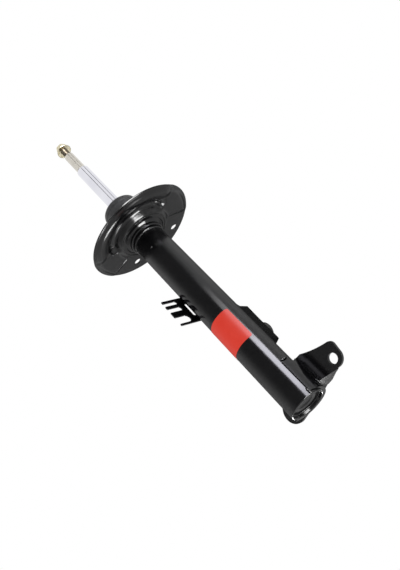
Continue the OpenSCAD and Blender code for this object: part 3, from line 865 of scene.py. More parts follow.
@dataclass
class BumpCap:
    """The moulded cap over the tube's upper end."""

    radius: float = 30.25
    wall: float = 2.5
    low: float = 398.0
    top: float = 438.0
    under_top: float = 430.03
    hole: float = 13.5
    ribs: int = 12
    rib_width: float = 2.0
    # How far each rib reaches into the shell's wall
    rib_sunk: float = 0.4
    tube_radius: float = 25.53

    def shell(self) -> bpy.types.Object:
        """The cap's shell, with a full round at the top and a lip at the bottom.

        Returns:
            The shell.
        """
        r, hole = self.radius, self.hole
        shoulder = arc((r - 3.2, self.top - 3.2), 3.2, 0, 90, 8)
        profile = (
            [(r - self.wall, self.low + 0.8), (r - self.wall + 0.6, self.low),
             (r - 0.5, self.low), (r, self.low + 0.5), (r, self.low + 2.6),
             (r - 0.45, self.low + 3.2), (r - 0.45, self.top - 10), (r, self.top - 9.2)]
            + shoulder
            + [(hole + 2.2, self.top), (hole + 0.7, self.top - 0.4), (hole, self.top - 1.6),
               (hole, self.under_top), (r - self.wall, self.under_top)]
        )
        piece = Bench.turned("bump_cap_shell", profile)
        Bench.smooth(piece, 40)
        return piece

    def rib(self) -> bpy.types.Object:
        """One rib that grips the tube, on the +X side.

        Returns:
            The rib.
        """
        depth = self.radius - self.wall - self.tube_radius + self.rib_sunk
        bpy.ops.object.select_all(action="DESELECT")
        bpy.ops.mesh.primitive_cube_add(size=MM, location=(0, 0, 0))
        piece = Bench.named("rib")
        size = Matrix.Diagonal((depth, self.rib_width, self.under_top - self.low - 1.6, 1))
        middle = Vector((self.tube_radius + depth / 2, 0, (self.under_top + self.low + 1) / 2)) * MM
        Bench.place(piece, Matrix.Translation(middle) @ size)
        Bench.round_edges(piece, 0.4, segments=2)
        return piece

    def build(self, dresser: Dresser) -> None:
        """Builds and finishes the cap.

        Args:
            dresser: Gives each piece its finish and body.
        """
        first = self.rib()
        turns = [Matrix.Rotation(2 * math.pi * i / self.ribs, 4, "Z") for i in range(1, self.ribs)]
        ribs = [first] + [Bench.twin(first, turn) for turn in turns]
        piece = Bench.joined([self.shell(), *ribs], "bump_cap")
        dresser.dress(piece, MOULDED_CAP, stands_for=["top_cap"])


@dataclass
class SpringSeat:
    """The tilted pressed seat, and the stepped collar under it."""

    rim: float = 89.8
    sheet: float = 2.5
    centre_z: float = 376.5
    tilt: float = 8.6
    low_azimuth: float = -61.0
    tube_clear: float = 25.9
    hub_drop: float = 8.0
    hub_radius: float = 41.0
    # Half angles of the low trough and of all but the high flat, and how far each border blends
    trough_half: float = 69.0
    flat_half: float = 117.0
    blend: float = 6.0
    flat_blend: float = 4.5
    # How much longer the trough's ends blend near the hub, on the right and on the left
    runout: Point2 = (1.2, 0.0)
    # Radii between which the longer blend comes in
    runout_span: Point2 = (66.0, 52.0)
    # Half width in degrees and height of the line pressed along the flat's border
    ridge: Point2 = (1.4, 0.5)
    # Radii between which the line rises from the hub, and falls again towards the rim
    ridge_start: Point2 = (44.0, 48.0)
    ridge_end: Point2 = (87.0, 84.0)
    # Turn of the flat's border at a middle radius, and its slant in degrees per millimetre
    flat_turn: float = 2.4
    flat_slant: float = 0.16
    flat_middle: float = 65.0
    # Radius and angle of each drain hole
    drains: tuple[Point2, ...] = ((75.4, 148.2), (71.0, -144.1))
    drain_radius: float = 5.8
    # Angles about the flat's border where the pan's corners stand closer, and the two steps
    crease_span: Point2 = (-7.0, 9.0)
    ray_step: float = 1.0
    crease_step: float = 0.45
    hub_rings: tuple[float, ...] = (26.0, 29.0, 33.0, 37.0)
    ring_step: float = 0.9
    collar_z: float = 351.0
    collar_bore: float = 25.53
    # Radii of the beads under the collar and at the seat's hub
    weld_radii: Point2 = (26.0, 40.6)
    # Radius, and the underside's height in the low trough, the side plateaus and the high flat
    section: list[tuple[float, float, float, float]] = field(
        default_factory=lambda: [
            (41.0, -8.0, -8.0, -8.0),
            (42.6, -7.2, -7.7, -6.6),
            (44.5, -4.0, -6.9, -3.8),
            (46.4, -0.6, -5.9, -1.6),
            (48.0, 2.4, -4.8, -0.3),
            (50.0, 3.6, -4.2, 0.15),
            (54.0, 4.0, -4.0, 0.3),
            (56.2, 3.5, -4.0, 0.3),
            (58.0, 2.4, -4.0, 0.3),
            (60.0, 0.2, -4.0, 0.3),
            (61.8, -1.5, -4.0, 0.3),
            (64.0, -2.7, -4.0, 0.3),
            (68.0, -4.4, -4.0, 0.3),
            (73.5, -6.3, -4.0, 0.3),
            (76.5, -6.8, -4.0, 0.3),
            (79.0, -6.5, -4.0, 0.3),
            (81.5, -5.8, -3.6, 0.3),
            (84.0, -4.7, -2.2, 0.3),
            (86.5, -3.4, -1.2, 0.3),
            (88.9, -2.6, -0.9, 0.3),
            (89.8, -1.35, 0.35, 1.55),
        ]
    )

    def frame_matrix(self) -> Matrix:
        """The seat's own frame: its rim lies in the XY plane, low side along +X.

        Returns:
            The way from the seat's frame to the part's, in metres.
        """
        return (
            Matrix.Translation((0, 0, self.centre_z * MM))
            @ Matrix.Rotation(math.radians(self.low_azimuth), 4, "Z")
            @ Matrix.Rotation(math.radians(self.tilt), 4, "Y")
        )

    def tabled(self, radius: float, column: int) -> float:
        """Height from one column of the section, with rounded corners between its rows.

        Args:
            radius: Radius in the seat's frame.
            column: The column of the heights.

        Returns:
            Height above the rim's plane.
        """
        rows = self.section
        if radius <= rows[0][0]:
            return rows[0][column]
        last = len(rows) - 2
        row = next((i for i in range(last) if radius <= rows[i + 1][0]), last)
        span = rows[row + 1][0] - rows[row][0]
        low, high = rows[row][column], rows[row + 1][column]
        straight = (high - low) / span
        start = self.slope(row, column) if row < last else straight
        end = self.slope(row + 1, column) if row + 1 < last else straight
        t = (radius - rows[row][0]) / span
        return (
            (2 * t**3 - 3 * t**2 + 1) * low
            + (t**3 - 2 * t**2 + t) * span * start
            + (3 * t**2 - 2 * t**3) * high
            + (t**3 - t**2) * span * end
        )

    def slope(self, row: int, column: int) -> float:
        """Slope of the section at one of its rows, level at the hub and wherever it turns back.

        Args:
            row: The row's number, below the last but one.
            column: The column of the heights.

        Returns:
            Height over radius.
        """
        if row == 0:
            return 0.0
        (r0, h0), (r1, h1), (r2, h2) = [
            (line[0], line[column]) for line in self.section[row - 1 : row + 2]
        ]
        left, right = (h1 - h0) / (r1 - r0), (h2 - h1) / (r2 - r1)
        return 0.0 if left * right <= 0 else 2 * left * right / (left + right)

    def height(self, radius: float, angle: float) -> float:
        """Height of the underside above the rim's plane.

        Args:
            radius: Radius in the seat's frame.
            angle: Angle from the low side, in degrees.

        Returns:
            The height.
        """
        turn = abs((angle + 180) % 360 - 180)
        skew = self.flat_turn + self.flat_slant * (radius - self.flat_middle)
        skewed = abs((angle - skew + 180) % 360 - 180)
        runout = self.runout[0 if angle % 360 < 180 else 1]
        blend = self.blend * (1 + runout * between(radius, *self.runout_span))
        border, soft = self.flat_half, self.flat_blend
        plateau = eased(turn, self.trough_half - blend, self.trough_half + blend)
        flat = eased(skewed, border - soft, border + soft)
        side = self.tabled(radius, 1) * (1 - plateau) + self.tabled(radius, 2) * plateau
        half, tall = self.ridge
        off = min(1.0, abs(skewed - border + soft) / half)
        tall *= between(radius, *self.ridge_start) * between(radius, *self.ridge_end)
        return side * (1 - flat) + self.tabled(radius, 3) * flat - tall * (1 - off * off) ** 2

    def bore(self, angle: float, drop: float) -> float:
        """Radius in the seat's frame where a height of the hub meets the tube's clearance.

        Args:
            angle: Angle from the low side, in degrees.
            drop: Height above the rim's plane.

        Returns:
            The radius.
        """
        c, s = math.cos(math.radians(angle)), math.sin(math.radians(angle))
        ct, st = math.cos(math.radians(self.tilt)), math.sin(math.radians(self.tilt))
        a = (c * ct) ** 2 + s * s
        b = 2 * c * ct * drop * st
        k = (drop * st) ** 2 - self.tube_clear**2
        return (-b + math.sqrt(b * b - 4 * a * k)) / (2 * a)

    def rays(self) -> list[float]:
        """Angles of the pan's corners, closer together at the sharp creases.

        Returns:
            The angles in degrees, from -180 up.
        """
        near, far = (self.flat_half + turn for turn in self.crease_span)
        wide, close = self.ray_step, self.crease_step
        runs = [(-180, -far, wide), (-far, -near, close), (-near, near, wide), (near, far, close),
                (far, 180, wide)]
        return [ray for run in runs for ray in sweep(*run)[:-1]]

    def pan(self) -> bpy.types.Object:
        """The pressed sheet, shaped ring by ring and then pressed into its sectors.

        Returns:
            The piece.
        """
        rays = self.rays()
        rings = [*self.hub_rings, *sweep(self.hub_radius, self.rim, self.ring_step)]
        bpy.ops.object.select_all(action="DESELECT")
        bpy.ops.mesh.primitive_circle_add(
            vertices=len(rays), radius=rings[0] * MM, fill_type="NOTHING"
        )
        piece = Bench.named("spring_seat_pan")
        bpy.ops.object.mode_set(mode="EDIT")
        bpy.ops.mesh.select_all(action="SELECT")
        for r, r_next in zip(rings, rings[1:]):
            bpy.ops.mesh.extrude_region_move(TRANSFORM_OT_translate={"value": (0, 0, 0)})
            bpy.ops.transform.resize(value=(r_next / r, r_next / r, 1))
        bpy.ops.mesh.select_all(action="SELECT")
        bpy.ops.mesh.normals_make_consistent(inside=False)
        bpy.ops.object.mode_set(mode="OBJECT")
        if piece.data.polygons[0].normal.z > 0:
            piece.data.flip_normals()
        for vertex in piece.data.vertices:
            r = math.hypot(vertex.co.x, vertex.co.y) / MM
            share = math.atan2(vertex.co.y, vertex.co.x) / (2 * math.pi)
            angle = rays[round(share * len(rays)) % len(rays)]
            h = self.height(max(r, self.hub_radius), angle)
            if r < self.hub_radius - TOUCH:
                share = (r - rings[0]) / (self.hub_radius - rings[0])
                near = self.bore(angle, h)
                r = near + share * (self.hub_radius - near)
            turn = math.radians(angle)
            vertex.co = (r * math.cos(turn) * MM, r * math.sin(turn) * MM, h * MM)
        Bench.modify(
            piece, "SOLIDIFY", thickness=self.sheet * MM, offset=-1.0, use_even_offset=True,
            use_quality_normals=True,
        )
        for radius, angle in self.drains:
            turn = math.radians(angle)
            bpy.ops.object.select_all(action="DESELECT")
            bpy.ops.mesh.primitive_cylinder_add(
                vertices=48, radius=self.drain_radius * MM, depth=30 * MM,
                location=(radius * math.cos(turn) * MM, radius * math.sin(turn) * MM, 0),
            )
            Bench.combine(piece, Bench.named("drain_punch"), "DIFFERENCE")
        Bench.round_edges(piece, 0.55, angle=60, segments=3)
        Bench.place(piece, self.frame_matrix())
        Bench.smooth(piece, 28)
        return piece

    def collar(self) -> bpy.types.Object:
        """The stepped ring that carries the seat, cut off along the seat's hub.

        Returns:
            The piece.
        """
        z, inside = self.collar_z, self.collar_bore
        profile = [
            (inside, z + 0.5), (inside + 0.5, z), (26.9, z), (27.4, z + 0.5), (27.4, z + 5.2),
            (27.7, z + 5.9), (28.5, z + 6.1), (29.0, z + 6.6), (29.0, z + 9.6),
            (29.3, z + 10.5), (34.0, z + 16.2), (38.5, z + 21.6), (40.0, z + 24),
            (38.0, z + 25.5), (30.0, z + 25.5), (inside, z + 25.5),
        ]
        piece = Bench.turned("seat_collar_ring", profile)
        bpy.ops.object.select_all(action="DESELECT")
        bpy.ops.mesh.primitive_cube_add(size=1)
        cutter = Bench.named("collar_cut")
        half = 60 * MM
        low = (-self.hub_drop - TOUCH) * MM
        box = Matrix.Translation((0, 0, low + half)) @ Matrix.Diagonal((half * 4, half * 4, half * 2, 1))
        Bench.place(cutter, self.frame_matrix() @ box)
        Bench.combine(piece, cutter, "DIFFERENCE")
        Bench.smooth(piece, 40, flat=True)
        return piece

    def welds(self) -> list[bpy.types.Object]:
        """The bead under the collar and the one between collar and seat.

        Returns:
            The two beads.
        """
        under, hub = self.weld_radii
        low = [around(a, under, self.collar_z - 0.1) for a in sweep(-178, 178, 4)]
        place = self.frame_matrix()
        high = [tuple(place @ (Vector(around(a, hub, -self.hub_drop - 0.3)) * MM) / MM)
                for a in sweep(-176, 176, 3)]
        return [
            Bench.bead("collar_weld", low, 1.05, ripple=2.0),
            Bench.bead("seat_weld", high, 0.8, ripple=2.6),
        ]

    def build(self, dresser: Dresser) -> None:
        """Builds and finishes the seat's pieces.

        Args:
            dresser: Gives each piece its finish and body.
        """
        dresser.dress(self.pan(), GLOSS_ENAMEL, stands_for=["spring_seat"])
        dresser.dress(self.collar(), GLOSS_ENAMEL, stands_for=["seat_collar"])
        for weld in self.welds():
            dresser.dress(weld, WELD_ENAMEL)


@dataclass
class HoseBracket:
    """The flat plate with three open slots for the brake hose and two cables."""

    azimuth: float = 171.0
    offset: float = 25.53
    sheet: float = 2.0
    low: float = 195.0
    root: float = -6.0
    reach: float = 44.5
    tall: float = 51.0
    slot_in: float = 22.0
    slots: list[Point2] = field(default_factory=lambda: [(10, 13), (31, 7.5), (43.5, 6)])
    feet: Point2 = (12, 37)
    slit: float = 13.0

    def place_matrix(self) -> Matrix:
        """Stands the plate's drawing on the tube, reach outwards and height up.

        Returns:
            The way from the drawing to the part's frame, in metres.
        """
        upright = Matrix(((0, 0, 1, 0), (1, 0, 0, 0), (0, 1, 0, 0), (0, 0, 0, 1)))
        return (
            Matrix.Rotation(math.radians(self.azimuth), 4, "Z")
            @ Matrix.Translation((self.offset * MM, 0, self.low * MM))
            @ upright
        )

    def outline(self) -> list[Point2]:
        """The plate's outline, with round slot ends and eased finger tips.

        Returns:
            The corners in order.
        """
        ease = 0.9
        points: list[Point2] = [(self.root, 0)]
        points += arc((self.reach - ease, ease), ease, 270, 360, 4)
        for middle, width in self.slots:
            r = width / 2
            points += arc((self.reach - ease, middle - r - ease), ease, 0, 90, 4)
            points += arc((self.slot_in + r, middle), r, 270, 90, 20)
            points += arc((self.reach - ease, middle + r + ease), ease, 270, 360, 4)
        points += arc((self.reach - ease, self.tall - ease), ease, 0, 90, 4)
        points.append((self.root, self.tall))
        low, high = self.feet
        points += [(self.root, high)]
        points += arc((self.slit - 2, high - 2), 2, 90, 0, 5)
        points += arc((self.slit - 2, low + 2), 2, 0, -90, 5)
        points.append((self.root, low))
        return points

    def build(self, dresser: Dresser) -> None:
        """Builds and finishes the bracket and its welds.

        Args:
            dresser: Gives each piece its finish and body.
        """
        piece = Bench.plate("hose_bracket_plate", self.outline(), self.sheet)
        Bench.place(piece, self.place_matrix())
        Bench.round_edges(piece, 0.35, angle=50, segments=2)
        Bench.smooth(piece, 35, flat=True)
        dresser.dress(piece, GLOSS_ENAMEL, stands_for=["hose_bracket"])
        place = self.place_matrix()
        runs = {"low": (0.6, self.feet[0] - 0.6), "high": (self.feet[1] + 0.6, self.tall - 0.6)}
        for name, (start, end) in runs.items():
            for side, across in (("near", 2.6), ("far", self.root - 0.2)):
                depth = 0.1 if side == "near" else 0.6
                line = [place @ (Vector((across, h, -depth)) * MM) / MM
                        for h in sweep(start, end, 2)]
                bead = Bench.bead(f"hose_weld_{name}_{side}", [tuple(p) for p in line], 0.9)
                dresser.dress(bead, WELD_ENAMEL)


@dataclass
class KnuckleBrackets:
    """The pressed knuckle bracket with two ears, and the box with its boss above it."""

    tube_radius: float = 25.53
    ear_plane: float = 20.0
    # Growth of the wrap that keeps it clear of the tube's skin
    wrap_ease: float = 1.003
    # Where the wrap's near side starts, and between which angles it grows to its full sheet
    near_side: float = -60.0
    thinned: Point2 = (-27.0, 30.0)
    # Share of the sheet that is left at the near edge
    edge_share: float = 0.38
    # Radius and the points (azimuth, height) of each short weld
    weld_runs: dict[str, tuple[float, tuple[Point2, ...]]] = field(
        default_factory=lambda: {
            "top": (26.9, ((-25, 57.0), (-12, 57.4), (2, 57.6))),
            "root": (30.2, ((14, 13.5), (16, 9.0), (17, 5.0))),
            "near": (26.2, ((-29.5, 10.0), (-29, 5.0), (-27.5, 0.5))),
        }
    )

    def thin_edge(self, wrap: bpy.types.Object) -> None:
        """Thins the wrap towards its near edge, where it is dressed down to the tube.

        Args:
            wrap: The wrap.
        """
        start, end = self.thinned
        for vertex in wrap.data.vertices:
            x, y = vertex.co.x / MM, vertex.co.y / MM
            r, azimuth = math.hypot(x, y), math.degrees(math.atan2(y, x))
            if r < self.tube_radius + 0.5 or not self.near_side < azimuth < end:
                continue
            share = self.edge_share + (1 - self.edge_share) * eased(azimuth, start, end)
            scale = (self.tube_radius + (r - self.tube_radius) * share) / r
            vertex.co.x *= scale
            vertex.co.y *= scale

    def ear(self, node: str) -> bpy.types.Object:
        """One ear, trimmed to its plate.

        Args:
            node: The ear's node.

        Returns:
            The ear.
        """
        piece = Bench.copied(node + "_part", [node])
        bpy.ops.object.select_all(action="DESELECT")
        bpy.ops.mesh.primitive_cube_add(size=1)
        trimmer = Bench.named("ear_trimmer")
        half = 100 * MM
        middle = Matrix.Translation((0, (self.ear_plane - TOUCH) * MM - half, 0))
        Bench.place(trimmer, middle @ Matrix.Diagonal((half * 4, half * 2, half * 4, 1)))
        Bench.combine(piece, trimmer, "DIFFERENCE")
        return piece

    def build(self, dresser: Dresser) -> None:
        """Builds and finishes the brackets and their welds.

        Args:
            dresser: Gives each piece its finish and body.
        """
        lower = Bench.copied("knuckle_pressing", ["knuckle_wrap"])
        Bench.place(lower, Matrix.Diagonal((self.wrap_ease, self.wrap_ease, 1, 1)))
        self.thin_edge(lower)
        for node in ("long_ear", "short_ear"):
            Bench.combine(lower, self.ear(node), "UNION")
        Bench.flattened(lower)
        Bench.round_edges(lower, 0.4, angle=50, segments=2)
        Bench.smooth(lower, 35, flat=True)
        dresser.dress(
            lower, GLOSS_ENAMEL, stands_for=["knuckle_wrap", "long_ear", "short_ear"]
        )
        for name, (radius, points) in self.weld_runs.items():
            path = [around(azimuth, radius, height) for azimuth, height in points]
            bead = Bench.bead(f"knuckle_weld_{name}", path, 1.5, ripple=3.0)
            dresser.dress(bead, WELD_ENAMEL)
        box = Bench.copied("upper_box", ["upper_bracket"])
        Bench.round_edges(box, 0.8, angle=40, segments=3)
        Bench.smooth(box, 35, flat=True)
        # The box's near-black, barely reflecting finish is painted shade
        dresser.dress(box, SHADE_DIMMED_BLACK, stands_for=["upper_bracket"])
        boss = Bench.copied("upper_boss_ring", ["upper_boss"])
        Bench.round_edges(boss, 0.4, angle=40, segments=2)
        Bench.smooth(boss, 35, flat=True)
        dresser.dress(boss, GLOSS_ENAMEL, stands_for=["upper_boss"])


# ---- Rod ----


@dataclass
class RodEnd:
    """The chromed rod with its neck, thread, nut and locking ring."""

    radius: float = 11.0
    foot: float = 348.0
    spigot: float = 6.0
    shoulder: float = 563.5
    neck: float = 8.5
    neck_top: float = 613.5
    tip: float = 645.0
    thread: float = 6.0
    thread_depth: float = 0.92
    pitch: float = 1.5
    nut_z: float = 631.0
    nut_flats: float = 18.0
    nut_tall: float = 9.5
    flange: Point2 = (13.0, 2.5)

    def bar(self) -> bpy.types.Object:
        """The chromed length, from the piston's seat to the shoulder.

        Returns:
            The piece.
        """
        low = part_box("piston_rod")[0].z / MM
        profile = [
            (self.spigot - 1, low), (self.spigot, low + 1), (self.spigot, self.foot),
            (self.radius - 0.6, self.foot), (self.radius, self.foot + 0.6),
            (self.radius, self.shoulder - 2.2), (self.radius - 0.2, self.shoulder - 1.4),
            (self.radius - 0.8, self.shoulder - 0.6), (self.radius - 1.8, self.shoulder - 0.1),
            (self.radius - 2.2, self.shoulder),
        ]
        piece = Bench.turned("rod_bar", profile, closed=False)
        Bench.smooth(piece, 40)
        return piece

    def ground_neck(self) -> bpy.types.Object:
        """The ground neck, with an undercut at its root and a lead-in at its top.

        Returns:
            The piece.
        """
        core = self.thread - self.thread_depth
        profile = [
            (self.neck - 0.9, self.shoulder - 0.5), (self.neck - 0.5, self.shoulder + 0.4),
            (self.neck - 0.5, self.shoulder + 1.8), (self.neck, self.shoulder + 2.4),
            (self.neck, self.neck_top - 1.6), (self.neck - 0.3, self.neck_top - 1.0),
            (core + 0.2, self.neck_top + 0.1), (core, self.neck_top + 0.6), (core, self.tip - 1.0),
            (core - 0.5, self.tip - 0.5),
        ]
        piece = Bench.turned("rod_neck", profile, closed=False)
        Bench.smooth(piece, 30)
        return piece

    def rolled_thread(self) -> bpy.types.Object:
        """The thread as one helix round the neck's core.

        Returns:
            The piece.
        """
        core = self.thread - self.thread_depth
        turns = int((self.tip - self.neck_top - 2.5) / self.pitch)
        bpy.ops.object.select_all(action="DESELECT")
        bpy.ops.mesh.primitive_plane_add(size=MM, location=((core - 0.5) * MM, 0, 0))
        piece = Bench.named("rod_thread")
        bpy.ops.object.mode_set(mode="EDIT")
        bpy.ops.mesh.select_all(action="SELECT")
        bpy.ops.mesh.merge(type="CENTER")
        section = [(core - 0.5, 0), (core, 0.03), (self.thread - 0.12, 0.62), (self.thread, 0.7),
                   (self.thread, 0.8), (self.thread - 0.12, 0.88), (core, 1.47), (core - 0.5, 1.5)]
        for (r, z), (r_next, z_next) in zip(section, section[1:]):
            step = ((r_next - r) * MM, 0, (z_next - z) * MM)
            bpy.ops.mesh.extrude_vertices_move(TRANSFORM_OT_translate={"value": step})
        bpy.ops.object.mode_set(mode="OBJECT")
        Bench.modify(
            piece, "SCREW", steps=64, render_steps=64, angle=2 * math.pi, iterations=turns,
            screw_offset=self.pitch * MM, axis="Z", use_merge_vertices=False,
            use_smooth_shade=True,
        )
        bpy.ops.object.mode_set(mode="EDIT")
        bpy.ops.mesh.select_all(action="SELECT")
        bpy.ops.mesh.remove_doubles(threshold=MERGE * MM)
        bpy.ops.mesh.select_all(action="DESELECT")
        bpy.ops.mesh.select_non_manifold()
        bpy.ops.mesh.fill_holes(sides=0)
        Bench.face_outwards()
        bpy.ops.object.mode_set(mode="OBJECT")
        Bench.place(piece, Matrix.Translation((0, 0, (self.neck_top + 0.5) * MM)))
        Bench.smooth(piece, 30)
        return piece

    def nut(self) -> bpy.types.Object:
        """The flange nut: a hexagon with turned chamfers on a conical flange.

        Returns:
            The piece.
        """
        flange_r, flange_t = self.flange
        high = flange_t + self.nut_tall
        bpy.ops.object.select_all(action="DESELECT")
        bpy.ops.mesh.primitive_cylinder_add(
            vertices=6, radius=self.nut_flats / math.sqrt(3) * MM, depth=high * MM,
            location=(0, 0, (self.nut_z + high / 2) * MM),
        )
        piece = Bench.named("top_nut_body")
        z, half = self.nut_z, self.nut_flats / 2
        bore = self.thread + TOUCH
        envelope = Bench.turned(
            "envelope",
            [(bore, z - 1), (half + 3, z - 1), (half + 3, z + high - 1.7), (half - 0.5, z + high),
             (bore + 1.6, z + high), (bore + 1.6, z + high - 3), (bore, z + high - 3)],
        )
        Bench.combine(piece, envelope, "INTERSECT")
        skirt = Bench.turned(
            "skirt",
            [(bore + 0.4, z), (flange_r - 0.5, z), (flange_r, z + 0.4), (flange_r, z + 0.9),
             (flange_r - 0.5, z + 1.3), (half + 0.2, z + flange_t), (bore, z + flange_t),
             (bore, z + 0.4)],
        )
        Bench.combine(piece, skirt, "UNION")
        Bench.round_edges(piece, 0.25, angle=35, segments=2)
        Bench.smooth(piece, 30, flat=True)
        return piece

    def locking_ring(self) -> bpy.types.Object:
        """The nylon ring that locks the nut.

        Returns:
            The piece.
        """
        bore, top = self.thread + TOUCH, self.nut_z + self.flange[1] + self.nut_tall
        outer = self.thread + 1.6 - TOUCH
        profile = [(bore + 0.3, top - 2.97), (outer, top - 2.97), (outer, top - 0.8),
                   (outer - 0.4, top - 0.4), (bore + 0.3, top - 0.4), (bore, top - 0.7),
                   (bore, top - 2.7)]
        piece = Bench.turned("nut_lock_ring", profile, sides=96)
        Bench.smooth(piece, 40)
        return piece

    def build(self, dresser: Dresser) -> None:
        """Builds and finishes the rod's pieces.

        Args:
            dresser: Gives each piece its finish and body.
        """
        body = Body.ROD
        dresser.dress(self.bar(), HARD_CHROME, body, ["piston_rod"])
        dresser.dress(self.ground_neck(), GROUND_NECK, body)
        # The thread's dark colour is painted shade
        dresser.dress(self.rolled_thread(), ROLLED_THREAD, body)
        dresser.dress(self.nut(), YELLOW_ZINC, body, ["top_nut"])
        dresser.dress(self.locking_ring(), NATURAL_NYLON, body, ["nut_insert"])


@dataclass
class InnerWorks:
    """The solids inside the damper, which keep their shape."""

    steel: tuple[str, ...] = (
        "inner_tube", "rebound_stop", "upper_washer", "compression_discs", "rebound_discs",
        "piston_nut", "seal_spring", "seal_cover", "foot_valve_discs", "intake_plate",
        "intake_spring", "foot_valve_rivet",
    )
    sintered: tuple[str, ...] = ("piston", "rod_guide", "foot_valve_body")
    rubber: tuple[str, ...] = ("rebound_buffer", "rod_seal")
    lining: tuple[str, ...] = ("guide_bush", "piston_band")

    def build(self, dresser: Dresser) -> None:
        """Finishes the inner solids.

        Args:
            dresser: Gives each solid its finish.
        """
        dresser.refinish(self.steel, TURNED_STEEL)
        dresser.refinish(self.sintered, SINTERED_IRON)
        dresser.refinish(self.rubber, NITRILE)
        dresser.refinish(self.lining, FILLED_LINING)


# ---- Studio ----


@dataclass(frozen=True)
class Lamp:
    """A soft box: where it stands, what it faces, its size in metres and its power in watts."""

    name: str
    place: Point3
    aim: Point3
    size: Point2
    power: float
    diffuse: bool = True
    gloss: bool = True
    tint: str = "#ffffff"

    def hang(self) -> None:
        """Adds the lamp to the scene."""
        data = bpy.data.lights.new(self.name, "AREA")
        data.shape = "RECTANGLE"
        data.size, data.size_y = self.size
        data.energy = self.power
        data.color = paint(self.tint)[:3]
        lamp = bpy.data.objects.new(self.name, data)
        bpy.context.scene.collection.objects.link(lamp)
        lamp.location = self.place
        look = Vector(self.aim) - Vector(self.place)
        lamp.rotation_euler = look.to_track_quat("-Z", "Y").to_euler()
        lamp.visible_camera = False
        lamp.visible_diffuse = self.diffuse
        lamp.visible_glossy = self.gloss


